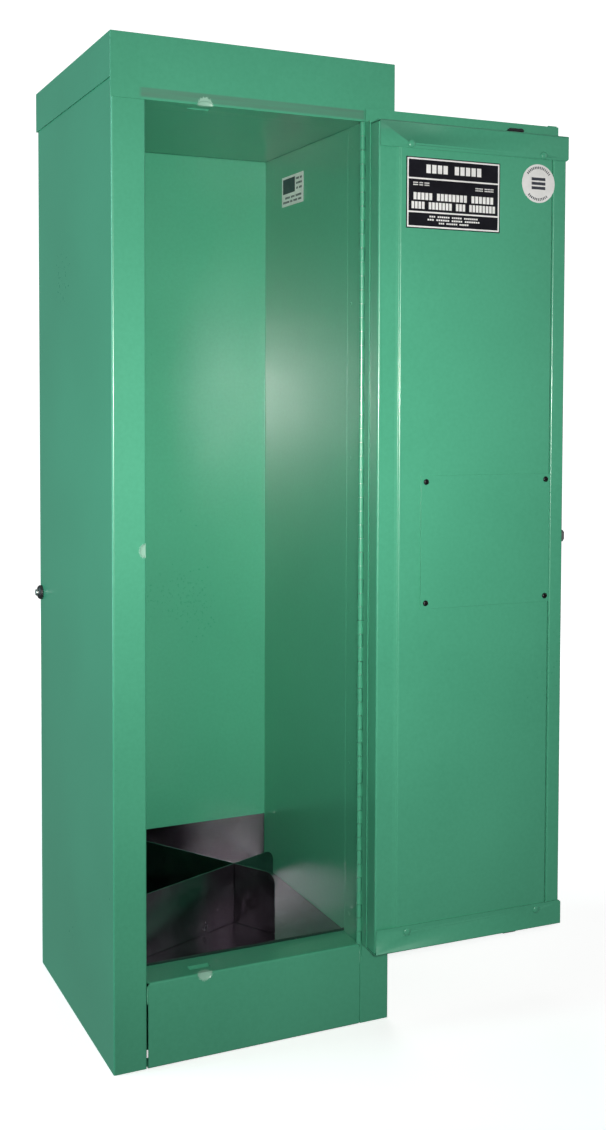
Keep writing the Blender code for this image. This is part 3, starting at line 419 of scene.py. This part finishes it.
# ---------------------------------------------------------------- cabinet

def cabinet(green, header, sill, jamb):
    """The sheet body, with the marks and pockets where the bolts meet it."""
    for node in ("back_panel", "base_plate", "liner_wrap", "inner_ceiling", "inner_deck",
                 "deck_stringer_left", "deck_stringer_right", "right_side_panel"):
        refine(node, green)
    left = refine("left_side_panel", jamb)
    cap = refine("top_cap", header)
    toe = refine("toe_panel", sill)
    lead_in(cap, "header", header, HEADER_SPOT, (9.8 * MM, 2.3 * MM, 4.8 * MM), (0, 0, 1))
    lead_in(toe, "sill", sill, SILL_SPOT, (9.8 * MM, 2.3 * MM, 8.4 * MM), (0, 0, -1))
    lead_in(left, "jamb", jamb, JAMB_SPOT, (6.8 * MM, 2.3 * MM, 8.4 * MM), (-1, 0, 0))
    strike_pockets(green)
    toe_corners(toe, green)


def lead_in(target, name, finish, centre, size, away):
    """A half-round dimple in the frame's front edge, where a sprung bolt first meets it."""
    bm = bmesh.new()
    bmesh.ops.create_uvsphere(bm, u_segments=48, v_segments=32, radius=1.0,
                              matrix=Matrix.LocRotScale(centre, None, size))
    cutter = hidden_cutter(f"{name}_lead_in", bm)
    away, size = Vector(away), Vector(size)
    along = Vector((1, 0, 0)) if away.z else Vector((0, 0, 1))
    back, start = Vector((0, 1, 0)), SHEET - 0.05 * MM
    half, reach = along.dot(size) + 1.5 * MM, abs(away.dot(size)) + 2 * MM
    corners = [centre + along * side + away * rise + back * deep for side in (-half, half)
               for rise in (start, reach) for deep in (start, size.y + SHEET)]
    bm = bmesh.new()
    box(bm, [min(c[k] for c in corners) for k in range(3)], [max(c[k] for c in corners) for k in range(3)])
    backing = piece(f"{name}_lead_in_backing", bm, finish, "cabinet", "green_enamel")
    carve(target, cutter)
    carve(backing, cutter)


def pocket(bm, low, high, mouth):
    """A thin-walled pan round the box low-high, open on the side that `mouth` points to."""
    for axis in range(3):
        for side in (-1, 1):
            if mouth[axis] == side:
                continue
            near = [low[k] - PAN_WALL * (mouth[k] >= 0) for k in range(3)]
            far = [high[k] + PAN_WALL * (mouth[k] <= 0) for k in range(3)]
            if side < 0:
                far[axis] = low[axis]
            else:
                near[axis] = high[axis]
            box(bm, near, far)


def strike_pockets(green):
    """Pressed pans behind the three slots that the rods and the bolt enter."""
    rod_y = JAMB_SPOT.y + ROD_DEPTH
    bolt_y = JAMB_SPOT.y + BOLT_DEPTH
    half, deep = 12.8 * MM, 4.8 * MM
    for name, low, high, mouth in (
            ("header_strike_pocket",
             (HEADER_SPOT.x - half, rod_y - deep, HEADER_SPOT.z + SHEET),
             (HEADER_SPOT.x + half, rod_y + deep, HEADER_SPOT.z + 5.0 * MM), (0, 0, -1)),
            ("sill_strike_pocket",
             (SILL_SPOT.x - half, rod_y - deep, SILL_SPOT.z - 7.6 * MM),
             (SILL_SPOT.x + half, rod_y + deep, SILL_SPOT.z - SHEET), (0, 0, 1)),
            ("jamb_strike_pocket",
             (JAMB_SPOT.x - 6.6 * MM, bolt_y - 4.4 * MM, BOLT_LEVEL - 9.4 * MM),
             (JAMB_SPOT.x - SHEET, bolt_y + 4.4 * MM, BOLT_LEVEL + 9.4 * MM), (1, 0, 0))):
        bm = bmesh.new()
        pocket(bm, low, high, mouth)
        piece(name, bm, green, "cabinet", "green_enamel")


def toe_corners(toe, green):
    """Relief holes at the toe panel's upper corners, and the short welds just under them."""
    low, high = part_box("toe_panel")
    bm = bmesh.new()
    for side in (-1, 1):
        verts = lathe(bm, [(0, -3 * MM), (1.3 * MM, -3 * MM), (1.3 * MM, 3 * MM), (0, 3 * MM)], 20)
        spot = (side * (high.x - 0.4 * MM), low.y, high.z - 0.6 * MM)
        bmesh.ops.transform(bm, matrix=aimed((0, -1, 0), spot), verts=verts)
    carve(toe, hidden_cutter("toe_relief_holes", bm))
    bm = bmesh.new()
    for side in (-1, 1):
        seam = side * (high.x + 0.55 * MM)
        length, steps = 21.0 * MM, 42
        profile = [(0, 0)]
        for k in range(1, steps):
            swell = math.sin(math.pi * k / steps) ** 0.3 * (1.05 + 0.22 * math.sin(k * 1.7 + side))
            profile.append((swell * MM, length * k / steps))
        verts = lathe(bm, profile + [(0, length)], 16)
        place = Matrix.Translation((seam, low.y + 1.3 * MM, high.z - 3.2 * MM - length))
        bmesh.ops.transform(bm, matrix=place, verts=verts)
    piece("toe_weld_beads", bm, green, "cabinet", "green_enamel")


def spot_welds(name, green, spots, direction):
    """Small shallow dished marks that electrodes leave on the sheet."""
    bm = bmesh.new()
    for spot in spots:
        profile = [(0, -0.4 * MM), (2.3 * MM, -0.4 * MM), (2.3 * MM, 0.0), (2.0 * MM, 0.28 * MM),
                   (1.3 * MM, 0.16 * MM), (0, 0.1 * MM)]
        verts = lathe(bm, profile, 24)
        bmesh.ops.transform(bm, matrix=aimed(direction, spot), verts=verts)
    piece(name, bm, green, "cabinet", "green_enamel")


def spaced(low, high, first, last, count):
    """Even levels, from the share `first` to the share `last` of the way from low to high."""
    return [low + (high - low) * (first + (last - first) * k / (count - 1)) for k in range(count)]


def weld_marks(green):
    """Welds of the hinge leaf to the room's right wall, and of the back to the sides' flanges."""
    low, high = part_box("liner_wrap")
    bottom, top = (corner.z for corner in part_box("hinge_frame_leaf"))
    spots = [(high.x - SHEET, low.y - 10 * MM, z) for z in spaced(bottom, top, 0.024, 0.976, 6)]
    spot_welds("hinge_weld_marks", green, spots, (-1, 0, 0))
    low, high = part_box("back_panel")
    spots = [(x, high.y, z) for x in (low.x + 7 * MM, high.x - 7 * MM)
             for z in spaced(low.z, high.z, 0.04, 0.92, 12)]
    spot_welds("back_weld_marks", green, spots, (0, 1, 0))


def rack(zinc):
    """The rack's pan, with tighter folds, and its two crossed dividers."""
    refine("rack_pan", zinc, fold=0.5 * MM)
    for node in ("divider_a", "divider_b"):
        refine(node, zinc, cut=0.3 * MM)


def earth_terminal(plastic, plate):
    """Ribbed bushing with a slotted screw, on the left side."""
    low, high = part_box("earth_bushing")
    centre = Vector((high.x, (low.y + high.y) / 2, (low.z + high.z) / 2))
    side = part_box("left_side_panel")[0].x
    out = aimed((-1, 0, 0), (side, centre.y, centre.z))
    radius = (high.y - low.y) / 2
    rise = side - low.x
    bm = bmesh.new()
    profile = [(0, -3 * MM), (4.4 * MM, -3 * MM), (4.4 * MM, 0.3 * MM), (radius - 0.5 * MM, 0.3 * MM),
               (radius, 0.8 * MM), (radius, rise - 2.4 * MM), (radius - 0.4 * MM, rise - 1.7 * MM),
               (radius - 1.6 * MM, rise - 0.5 * MM), (radius - 2.4 * MM, rise), (5.4 * MM, rise),
               (5.0 * MM, rise - 0.5 * MM), (0, rise - 0.5 * MM)]
    lathe(bm, profile)
    piece("earth_bushing_finished", bm, plastic, "cabinet", "black_plastic", "earth_bushing", place=out)
    bm = bmesh.new()
    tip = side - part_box("earth_screw")[0].x
    head = 4.4 * MM
    profile = [(0, rise - 1.2 * MM), (head - 0.3 * MM, rise - 1.2 * MM), (head, rise - 0.8 * MM),
               (head, tip - 1.4 * MM), (head - 0.5 * MM, tip - 0.7 * MM), (head - 1.6 * MM, tip - 0.2 * MM),
               (0, tip)]
    lathe(bm, profile)
    screw = piece("earth_screw_finished", bm, plate, "cabinet", "zinc_plate", "earth_screw", place=out)
    slot = bmesh.new()
    box(slot, (-0.55 * MM, -6 * MM, tip - 1.3 * MM), (0.55 * MM, 6 * MM, tip + 2 * MM))
    turn = Matrix.Rotation(math.radians(35), 4, "Z")
    carve(screw, hidden_cutter("earth_screw_slot", slot, out @ turn))


# ---------------------------------------------------------------- hinge

def hinge_leaf(name, node, finish, body, direction, first, place):
    """One leaf of the continuous hinge: its plate, and every second rolled knuckle from `first`."""
    levels = [v.co.z for v in NODES[node].data.vertices]
    bottom, top = min(levels), max(levels)
    pitch = (top - bottom + 2 * KNUCKLE_PLAY) / KNUCKLES
    outer, inner = KNUCKLE_RADIUS, KNUCKLE_RADIUS - KNUCKLE_SHEET
    sweep, steps = math.radians(318), 18
    turns = [-direction * sweep * k / steps for k in range(steps + 1)]
    arcs = [[(r * math.cos(a), r * math.sin(a)) for a in turns] for r in (outer, inner)]
    root = direction * (LEAF_NOTCH + 0.3 * MM)
    curl = [(outer, root)] + arcs[0] + arcs[1][::-1] + [(inner, root)]
    bm = bmesh.new()
    sides = sorted((direction * LEAF_NOTCH, direction * LEAF_WIDTH))
    box(bm, (inner, sides[0], bottom), (outer, sides[1], top))
    for k in range(first, KNUCKLES, 2):
        base = bottom - KNUCKLE_PLAY + k * pitch
        slab(bm, curl, base + KNUCKLE_PLAY, base + pitch - KNUCKLE_PLAY)
    soften(bm, corners_over(bm, 60), 0.16 * MM, 1)
    piece(name, bm, finish, body, "green_enamel", node, place=place)


def hinge(green, plate):
    """Both leaves and the pin of the continuous hinge; the second knuckle up belongs to the door."""
    axis = Matrix.Translation((HINGE[0], HINGE[1], 0.0))
    hinge_leaf("frame_leaf_finished", "hinge_frame_leaf", green, "cabinet", 1, 0, axis)
    hinge_leaf("door_leaf_finished", "hinge_door_leaf", green, "door", -1, 1, DOOR)
    low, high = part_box("hinge_pin")
    radius = (high.x - low.x) / 2
    chamfer = 0.3 * MM
    bm = bmesh.new()
    lathe(bm, [(0, low.z), (radius - chamfer, low.z), (radius, low.z + chamfer),
               (radius, high.z - chamfer), (radius - chamfer, high.z), (0, high.z)], 24)
    piece("hinge_pin_finished", bm, plate, "cabinet", "zinc_plate", "hinge_pin", place=axis)


# ---------------------------------------------------------------- door

def door(green):
    """The door's sheets: its skin, inner panel, end and edge channels, and the cover of the latch."""
    for node in ("door_outer_panel", "door_inner_panel", "door_edge_channel", "door_top_channel",
                 "door_bottom_channel", "latch_cover"):
        refine(node, green)


def head_piece(node, finish, slot, squash, recess):
    """A domed head on the door's inner face, with a cross recess turned by `recess` degrees, if any."""
    low, high = local_box(node)
    radius = (high.x - low.x) / 2
    rise = 2.0 * MM
    face = low.y + rise
    centre = Vector(((low.x + high.x) / 2, face, (low.z + high.z) / 2))
    dome = [(radius * math.cos(a), rise * squash + rise * (1 - squash) * math.sin(a))
            for a in [math.radians(k * 11.25) for k in range(8)]]
    profile = [(0, -1.2 * MM), (1.6 * MM, -1.2 * MM), (1.6 * MM, 0.2 * MM), (radius - 0.2 * MM, 0.2 * MM),
               (radius, 0.35 * MM)] + dome + [(0, rise)]
    bm = bmesh.new()
    lathe(bm, profile, 36)
    place = DOOR @ aimed((0, -1, 0), centre)
    head = piece(f"{node}_finished", bm, finish, "door", slot, node, place=place)
    if recess:
        cross = bmesh.new()
        half, reach = 0.42 * MM, 1.9 * MM
        arm = [(reach, -half), (reach, half), (half, half)]
        outline = [(x * math.cos(t) - y * math.sin(t), x * math.sin(t) + y * math.cos(t))
                   for t in [math.pi / 2 * k for k in range(4)] for x, y in arm]
        slab(cross, outline, rise - 1.3 * MM, rise + 1 * MM)
        turn = Matrix.Rotation(math.radians(recess), 4, "Z")
        carve(head, hidden_cutter(f"{node}_recess", cross, place @ turn))


def fasteners(green, oxide):
    for k in range(1, 5):
        head_piece(f"door_rivet_{k}", green, "green_enamel", 0.15, 0)
        head_piece(f"cover_screw_{k}", oxide, "black_oxide", 0.2, 18 * k)


# ---------------------------------------------------------------- labels

def bars(name, rows, level, place, finish, slot, body):
    """Thin printed bars, given as (u0, u1, z0, z1) on a face at `level` that looks to -Y."""
    bm = bmesh.new()
    for u0, u1, z0, z1 in rows:
        box(bm, (u0, level - 0.06 * MM, z0), (u1, level + 0.05 * MM, z1))
    piece(name, bm, finish, body, slot, place=place)


def greeked(u0, u1, z, height, words):
    """One row of plain blocks in place of a line of lettering; words gives each word's length."""
    slots = sum(words) + len(words) - 1
    pitch = (u1 - u0) / slots
    rows, at = [], u0
    for word in words:
        for k in range(word):
            rows.append((at + (k + 0.12) * pitch, at + (k + 0.88) * pitch, z, z + height))
        at += (word + 1) * pitch
    return rows


def door_label(black, white):
    """The black label: ruled into three fields, with rows of plain blocks for lettering."""
    refine("door_label", black, fold=0.0, cut=0.1 * MM)
    low, high = local_box("door_label")
    width, height = high.x - low.x, high.z - low.z
    edge, line = 1.1 * MM, 1.7 * MM
    left, right = low.x + edge, high.x - edge
    bottom, top = low.z + edge, high.z - edge
    first, second = low.z + height * 0.69, low.z + height * 0.22
    rows = [(left, left + line, bottom, top), (right - line, right, bottom, top)]
    rows += [(left + line, right - line, z, z + line) for z in (bottom, second, first, top - line)]
    rows += greeked(low.x + width * 0.20, high.x - width * 0.20, first + 7.4 * MM, 9.6 * MM, (4, 5))
    for k in (0, 1):
        z = first - (4.6 + 2.4 * k) * MM
        rows += greeked(low.x + width * 0.07, low.x + width * 0.24, z, 1.2 * MM, (4, 3, 4))
        rows += greeked(high.x - width * 0.27, high.x - width * 0.07, z - 2 * MM, 1.2 * MM, (5, 6))
    rows += greeked(low.x + width * 0.07, high.x - width * 0.07, second + 14.6 * MM, 8.0 * MM, (5, 8, 6))
    rows += greeked(low.x + width * 0.05, high.x - width * 0.05, second + 4.4 * MM, 8.0 * MM, (4, 7, 3, 8))
    for k, (share, words) in enumerate(((0.24, (3, 6, 5, 7)), (0.22, (3, 6, 5, 7)), (0.34, (3, 6, 5)))):
        z = second - (4.6 + 3.6 * k) * MM
        rows += greeked(low.x + width * share, high.x - width * share, z, 1.8 * MM, words)
    bars("door_label_print", rows, low.y, DOOR, white, "label_white", "door")


def sticker(white, ink):
    """A round sticker with two arcs of plain blocks for its lettering and three bars between them."""
    low, high = local_box("door_sticker")
    radius = (high.x - low.x) / 2
    centre = Vector(((low.x + high.x) / 2, low.y, (low.z + high.z) / 2))
    thick = high.y - low.y
    bm = bmesh.new()
    round_off = 0.1 * MM
    lathe(bm, [(0, -thick), (radius - round_off, -thick), (radius, -thick + round_off),
               (radius, -round_off), (radius - round_off, 0), (0, 0)], 96)
    place = DOOR @ aimed((0, -1, 0), centre)
    piece("door_sticker_finished", bm, white, "door", "label_white", "door_sticker", place=place)
    bm = bmesh.new()
    orbit = radius * 0.82
    for start, count in ((38, 15), (226, 12)):
        for k in range(count):
            angle = math.radians(start + k * 7.4)
            verts = box(bm, (-0.62 * MM, -1.5 * MM, -0.05 * MM), (0.62 * MM, 1.5 * MM, 0.06 * MM))
            turn = Matrix.Rotation(angle - math.pi / 2, 4, "Z")
            spot = Matrix.Translation((math.cos(angle) * orbit, math.sin(angle) * orbit, 0))
            bmesh.ops.transform(bm, matrix=spot @ turn, verts=verts)
    half = radius * 0.42
    for k in (-1, 0, 1):
        box(bm, (-half, (5.2 * k - 1.7) * MM, -0.05 * MM), (half, (5.2 * k + 1.7) * MM, 0.06 * MM))
    piece("door_sticker_print", bm, ink, "door", "label_black", place=place)


def inner_label(white, ink):
    """The small label on the room's wall: one dark block and rows of plain blocks for lettering."""
    refine("inner_label", white, fold=0.0, cut=0.1 * MM)
    low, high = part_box("inner_label")
    face = Matrix.Translation((low.x, 0, 0)) @ Matrix.Rotation(-math.pi / 2, 4, "Z")
    near, far = -high.y, -low.y
    width, height = far - near, high.z - low.z
    rows = [(near + 0.05 * width, near + 0.62 * width, low.z + 0.42 * height, high.z - 0.08 * height)]
    for k, words in enumerate(((3, 2), (4,), (2, 3))):
        z = high.z - (0.20 + 0.16 * k) * height
        rows += greeked(near + 0.68 * width, far - 0.06 * width, z, 0.07 * height, words)
    for k, words in enumerate(((5, 4, 6), (8, 3, 5, 4))):
        z = low.z + (0.24 - 0.14 * k) * height
        rows += greeked(near + (0.16 - 0.10 * k) * width, far - 0.08 * width, z, 0.07 * height, words)
    bars("inner_label_print", rows, 0.0, face, ink, "label_black", "cabinet")


# ---------------------------------------------------------------- latch and handle

def latch(plate, plastic):
    """The handle, lock, hub, bolt, rods and springs."""
    for node in ("handle_tray", "latch_plate", "latch_hub", "middle_bolt", "top_rod", "bottom_rod",
                 "top_rod_guide", "bottom_rod_guide", "bolt_guide", "lock_cam"):
        refine(node, plate, fold=0.5 * MM, cut=0.2 * MM)
    for node in ("lock_barrel", "lock_plug", "hub_pivot", "paddle_pin"):
        refine(node, plate, fold=0.0, cut=0.25 * MM)
    for node in ("top_rod_tip", "bottom_rod_tip"):
        refine(node, plastic, fold=0.4 * MM, cut=0.25 * MM)
    refine("paddle", plastic, fold=0.8 * MM, cut=0.5 * MM)
    spring("top", plate)
    spring("bottom", plate)


def spring(prefix, plate):
    """A wire spring with closed end coils; it is built where the node stands and rides no body."""
    node = f"{prefix}_rod_spring"
    low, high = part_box(node)
    wire, turns, per_turn, sides = 0.7 * MM, 8.0, 28, 12
    radius = (high.x - low.x) / 2 - wire
    middle = (low + high) / 2
    steps = int(turns * per_turn)
    bottom, rise = low.z + wire, high.z - low.z - 2 * wire
    bm = bmesh.new()
    rings = []
    for step in range(steps + 1):
        turn = step / per_turn
        closed = min(turn, 1.0) * 2 * wire + max(turn - turns + 1.0, 0.0) * 2 * wire
        free = min(max((turn - 1.0) / (turns - 2.0), 0.0), 1.0) * (rise - 4 * wire)
        angle = 2 * math.pi * turn
        out = Vector((math.cos(angle), math.sin(angle), 0))
        centre = Vector((middle.x, middle.y, bottom + closed + free)) + out * radius
        rings.append([bm.verts.new(centre + wire * (out * x + Vector((0, 0, y))))
                      for x, y in ring(1.0, sides)])
    for first, second in zip(rings, rings[1:]):
        for k in range(sides):
            nxt = (k + 1) % sides
            bm.faces.new([first[k], first[nxt], second[nxt], second[k]])
    bm.faces.new(rings[0][::-1])
    bm.faces.new(rings[-1])
    made = piece(f"{node}_finished", bm, plate, None, "zinc_plate", node)
    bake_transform(made)


# ---------------------------------------------------------------- stage, lights and camera

def stage(paper):
    """A round pale sweep: a flat floor just below the base, which curves up into a wall all round."""
    flat, curve, wall, steps = 4.2, 1.6, 3.4, 10
    profile = [(flat * k / 6, 0.0) for k in range(1, 7)]
    profile += [(flat + curve * math.sin(a), curve - curve * math.cos(a))
                for a in [math.pi / 2 * k / steps for k in range(1, steps + 1)]]
    profile.append((flat + curve, curve + wall))
    bm = bmesh.new()
    below = 0.3 * MM
    rows = [[bm.verts.new((x, y, z - below)) for x, y in ring(radius, 96)] for radius, z in profile]
    bm.faces.new(rows[0])
    for low, high in zip(rows, rows[1:]):
        for k in range(len(low)):
            nxt = (k + 1) % len(low)
            bm.faces.new([low[k], low[nxt], high[nxt], high[k]])
    bmesh.ops.recalc_face_normals(bm, faces=bm.faces)
    bmesh.ops.reverse_faces(bm, faces=bm.faces)
    mesh = bpy.data.meshes.new("studio_sweep")
    bm.to_mesh(mesh)
    bm.free()
    mesh.materials.append(paper)
    mesh.shade_smooth()
    floor = bpy.data.objects.new("studio_sweep", mesh)
    bpy.context.scene.collection.objects.link(floor)
    for rays in ("diffuse", "glossy", "transmission", "shadow"):     # the sweep is seen, but lights nothing
        setattr(floor, f"visible_{rays}", False)


def softbox(name, location, target, size, power, colour=(1.0, 1.0, 1.0), spread=180):
    """A rectangular light of some watts, aimed at a target; spread is its beam in degrees."""
    light = bpy.data.lights.new(name, "AREA")
    light.spread = math.radians(spread)
    light.shape = "RECTANGLE"
    light.size, light.size_y = size
    light.energy = power
    light.color = colour
    lamp = bpy.data.objects.new(name, light)
    bpy.context.scene.collection.objects.link(lamp)
    lamp.location = location
    aim = Vector(target) - Vector(location)
    lamp.rotation_euler = aim.to_track_quat("-Z", "Y").to_euler()


def lights():
    """A small flash near the camera, large soft boxes all round and a faint even fill."""
    softbox("flash", (-0.52, -1.56, 0.755), (0.06, -0.1, 0.66), (0.10, 0.10), 4.8, (1.0, 0.985, 0.95), 75)
    softbox("left_softbox", (-2.3, 0.5, 0.9), (-0.17, 0.0, 0.6), (1.0, 1.8), 40, (0.64, 0.98, 1.0))
    softbox("right_softbox", (2.4, -2.0, 1.4), (0.2, -0.1, 0.6), (0.9, 1.6), 4)
    softbox("top_softbox", (0.1, 0.3, 2.9), (0.05, 0.0, 1.0), (1.8, 1.8), 6)
    softbox("rear_softbox", (0.8, 2.6, 1.6), (0.1, 0.1, 0.6), (1.6, 1.6), 22)
    world = bpy.data.worlds.new("studio")
    bpy.context.scene.world = world
    world.use_nodes = True
    shade = world.node_tree.nodes["Background"].inputs
    shade["Color"].default_value = (0.96, 0.98, 1.0, 1.0)
    shade["Strength"].default_value = 0.13
    bpy.context.scene.view_settings.view_transform = "Standard"


def camera():
    """25 degrees round from the front, on the left, level with the cabinet's upper half."""
    position = Vector((-0.5737, -1.5410, 0.7299))
    yaw, pitch, roll = (math.radians(a) for a in (24.94, 2.42, 0.19))
    level = math.cos(pitch)
    forward = Vector((math.sin(yaw) * level, math.cos(yaw) * level, -math.sin(pitch)))
    lens = bpy.data.cameras.new("studio_camera")
    lens.sensor_fit = "AUTO"
    lens.sensor_width = 36.0
    lens.lens = 42.713
    lens.shift_x = -0.0086
    lens.shift_y = -0.0947
    lens.clip_end = 50.0
    view = bpy.data.objects.new("studio_camera", lens)
    bpy.context.scene.collection.objects.link(view)
    turn = forward.to_track_quat("-Z", "Y").to_matrix() @ Matrix.Rotation(roll, 3, "Z")
    view.matrix_world = Matrix.Translation(position) @ turn.to_4x4()
    bpy.context.scene.camera = view


# ---------------------------------------------------------------- the scene

def header_rub():
    """The bands whose product is the dull line that the door's top edge has rubbed on the header."""
    cap_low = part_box("top_cap")[0]
    left, right = -134.0 * MM, 128.0 * MM
    return (("Z", cap_low.z + 3.2 * MM, cap_low.z + 12.0 * MM, 1.2 * MM),
            ("X", left, right, 4 * MM),
            ("Y", cap_low.y - 1 * MM, cap_low.y + 1 * MM, 1 * MM))


def main():
    green = enamel("green_enamel_finish")
    header = enamel("green_enamel_header", header_rub(), (HEADER_SPOT, 9.4 * MM))
    sill = enamel("green_enamel_sill", None, (SILL_SPOT, 9.4 * MM))
    jamb = enamel("green_enamel_jamb", None, (JAMB_SPOT, 8.6 * MM))
    zinc, plate = galvanised(), zinc_plate()
    plastic, oxide = black_plastic(), black_oxide()
    black = vinyl("label_black_film", (0.004, 0.004, 0.007, 1), (0.008, 0.008, 0.013, 1), 0.42, 0.2)
    white = vinyl("label_white_film", (0.78, 0.78, 0.77, 1), (0.88, 0.88, 0.87, 1), 0.30)
    ink = vinyl("label_ink", (0.030, 0.034, 0.050, 1), (0.050, 0.055, 0.075, 1), 0.34)
    cabinet(green, header, sill, jamb)
    weld_marks(green)
    rack(zinc)
    earth_terminal(plastic, plate)
    hinge(green, plate)
    door(green)
    fasteners(green, oxide)
    door_label(black, white)
    sticker(white, ink)
    inner_label(white, ink)
    latch(plate, plastic)
    stage(studio_paper())
    lights()
    camera()


main()
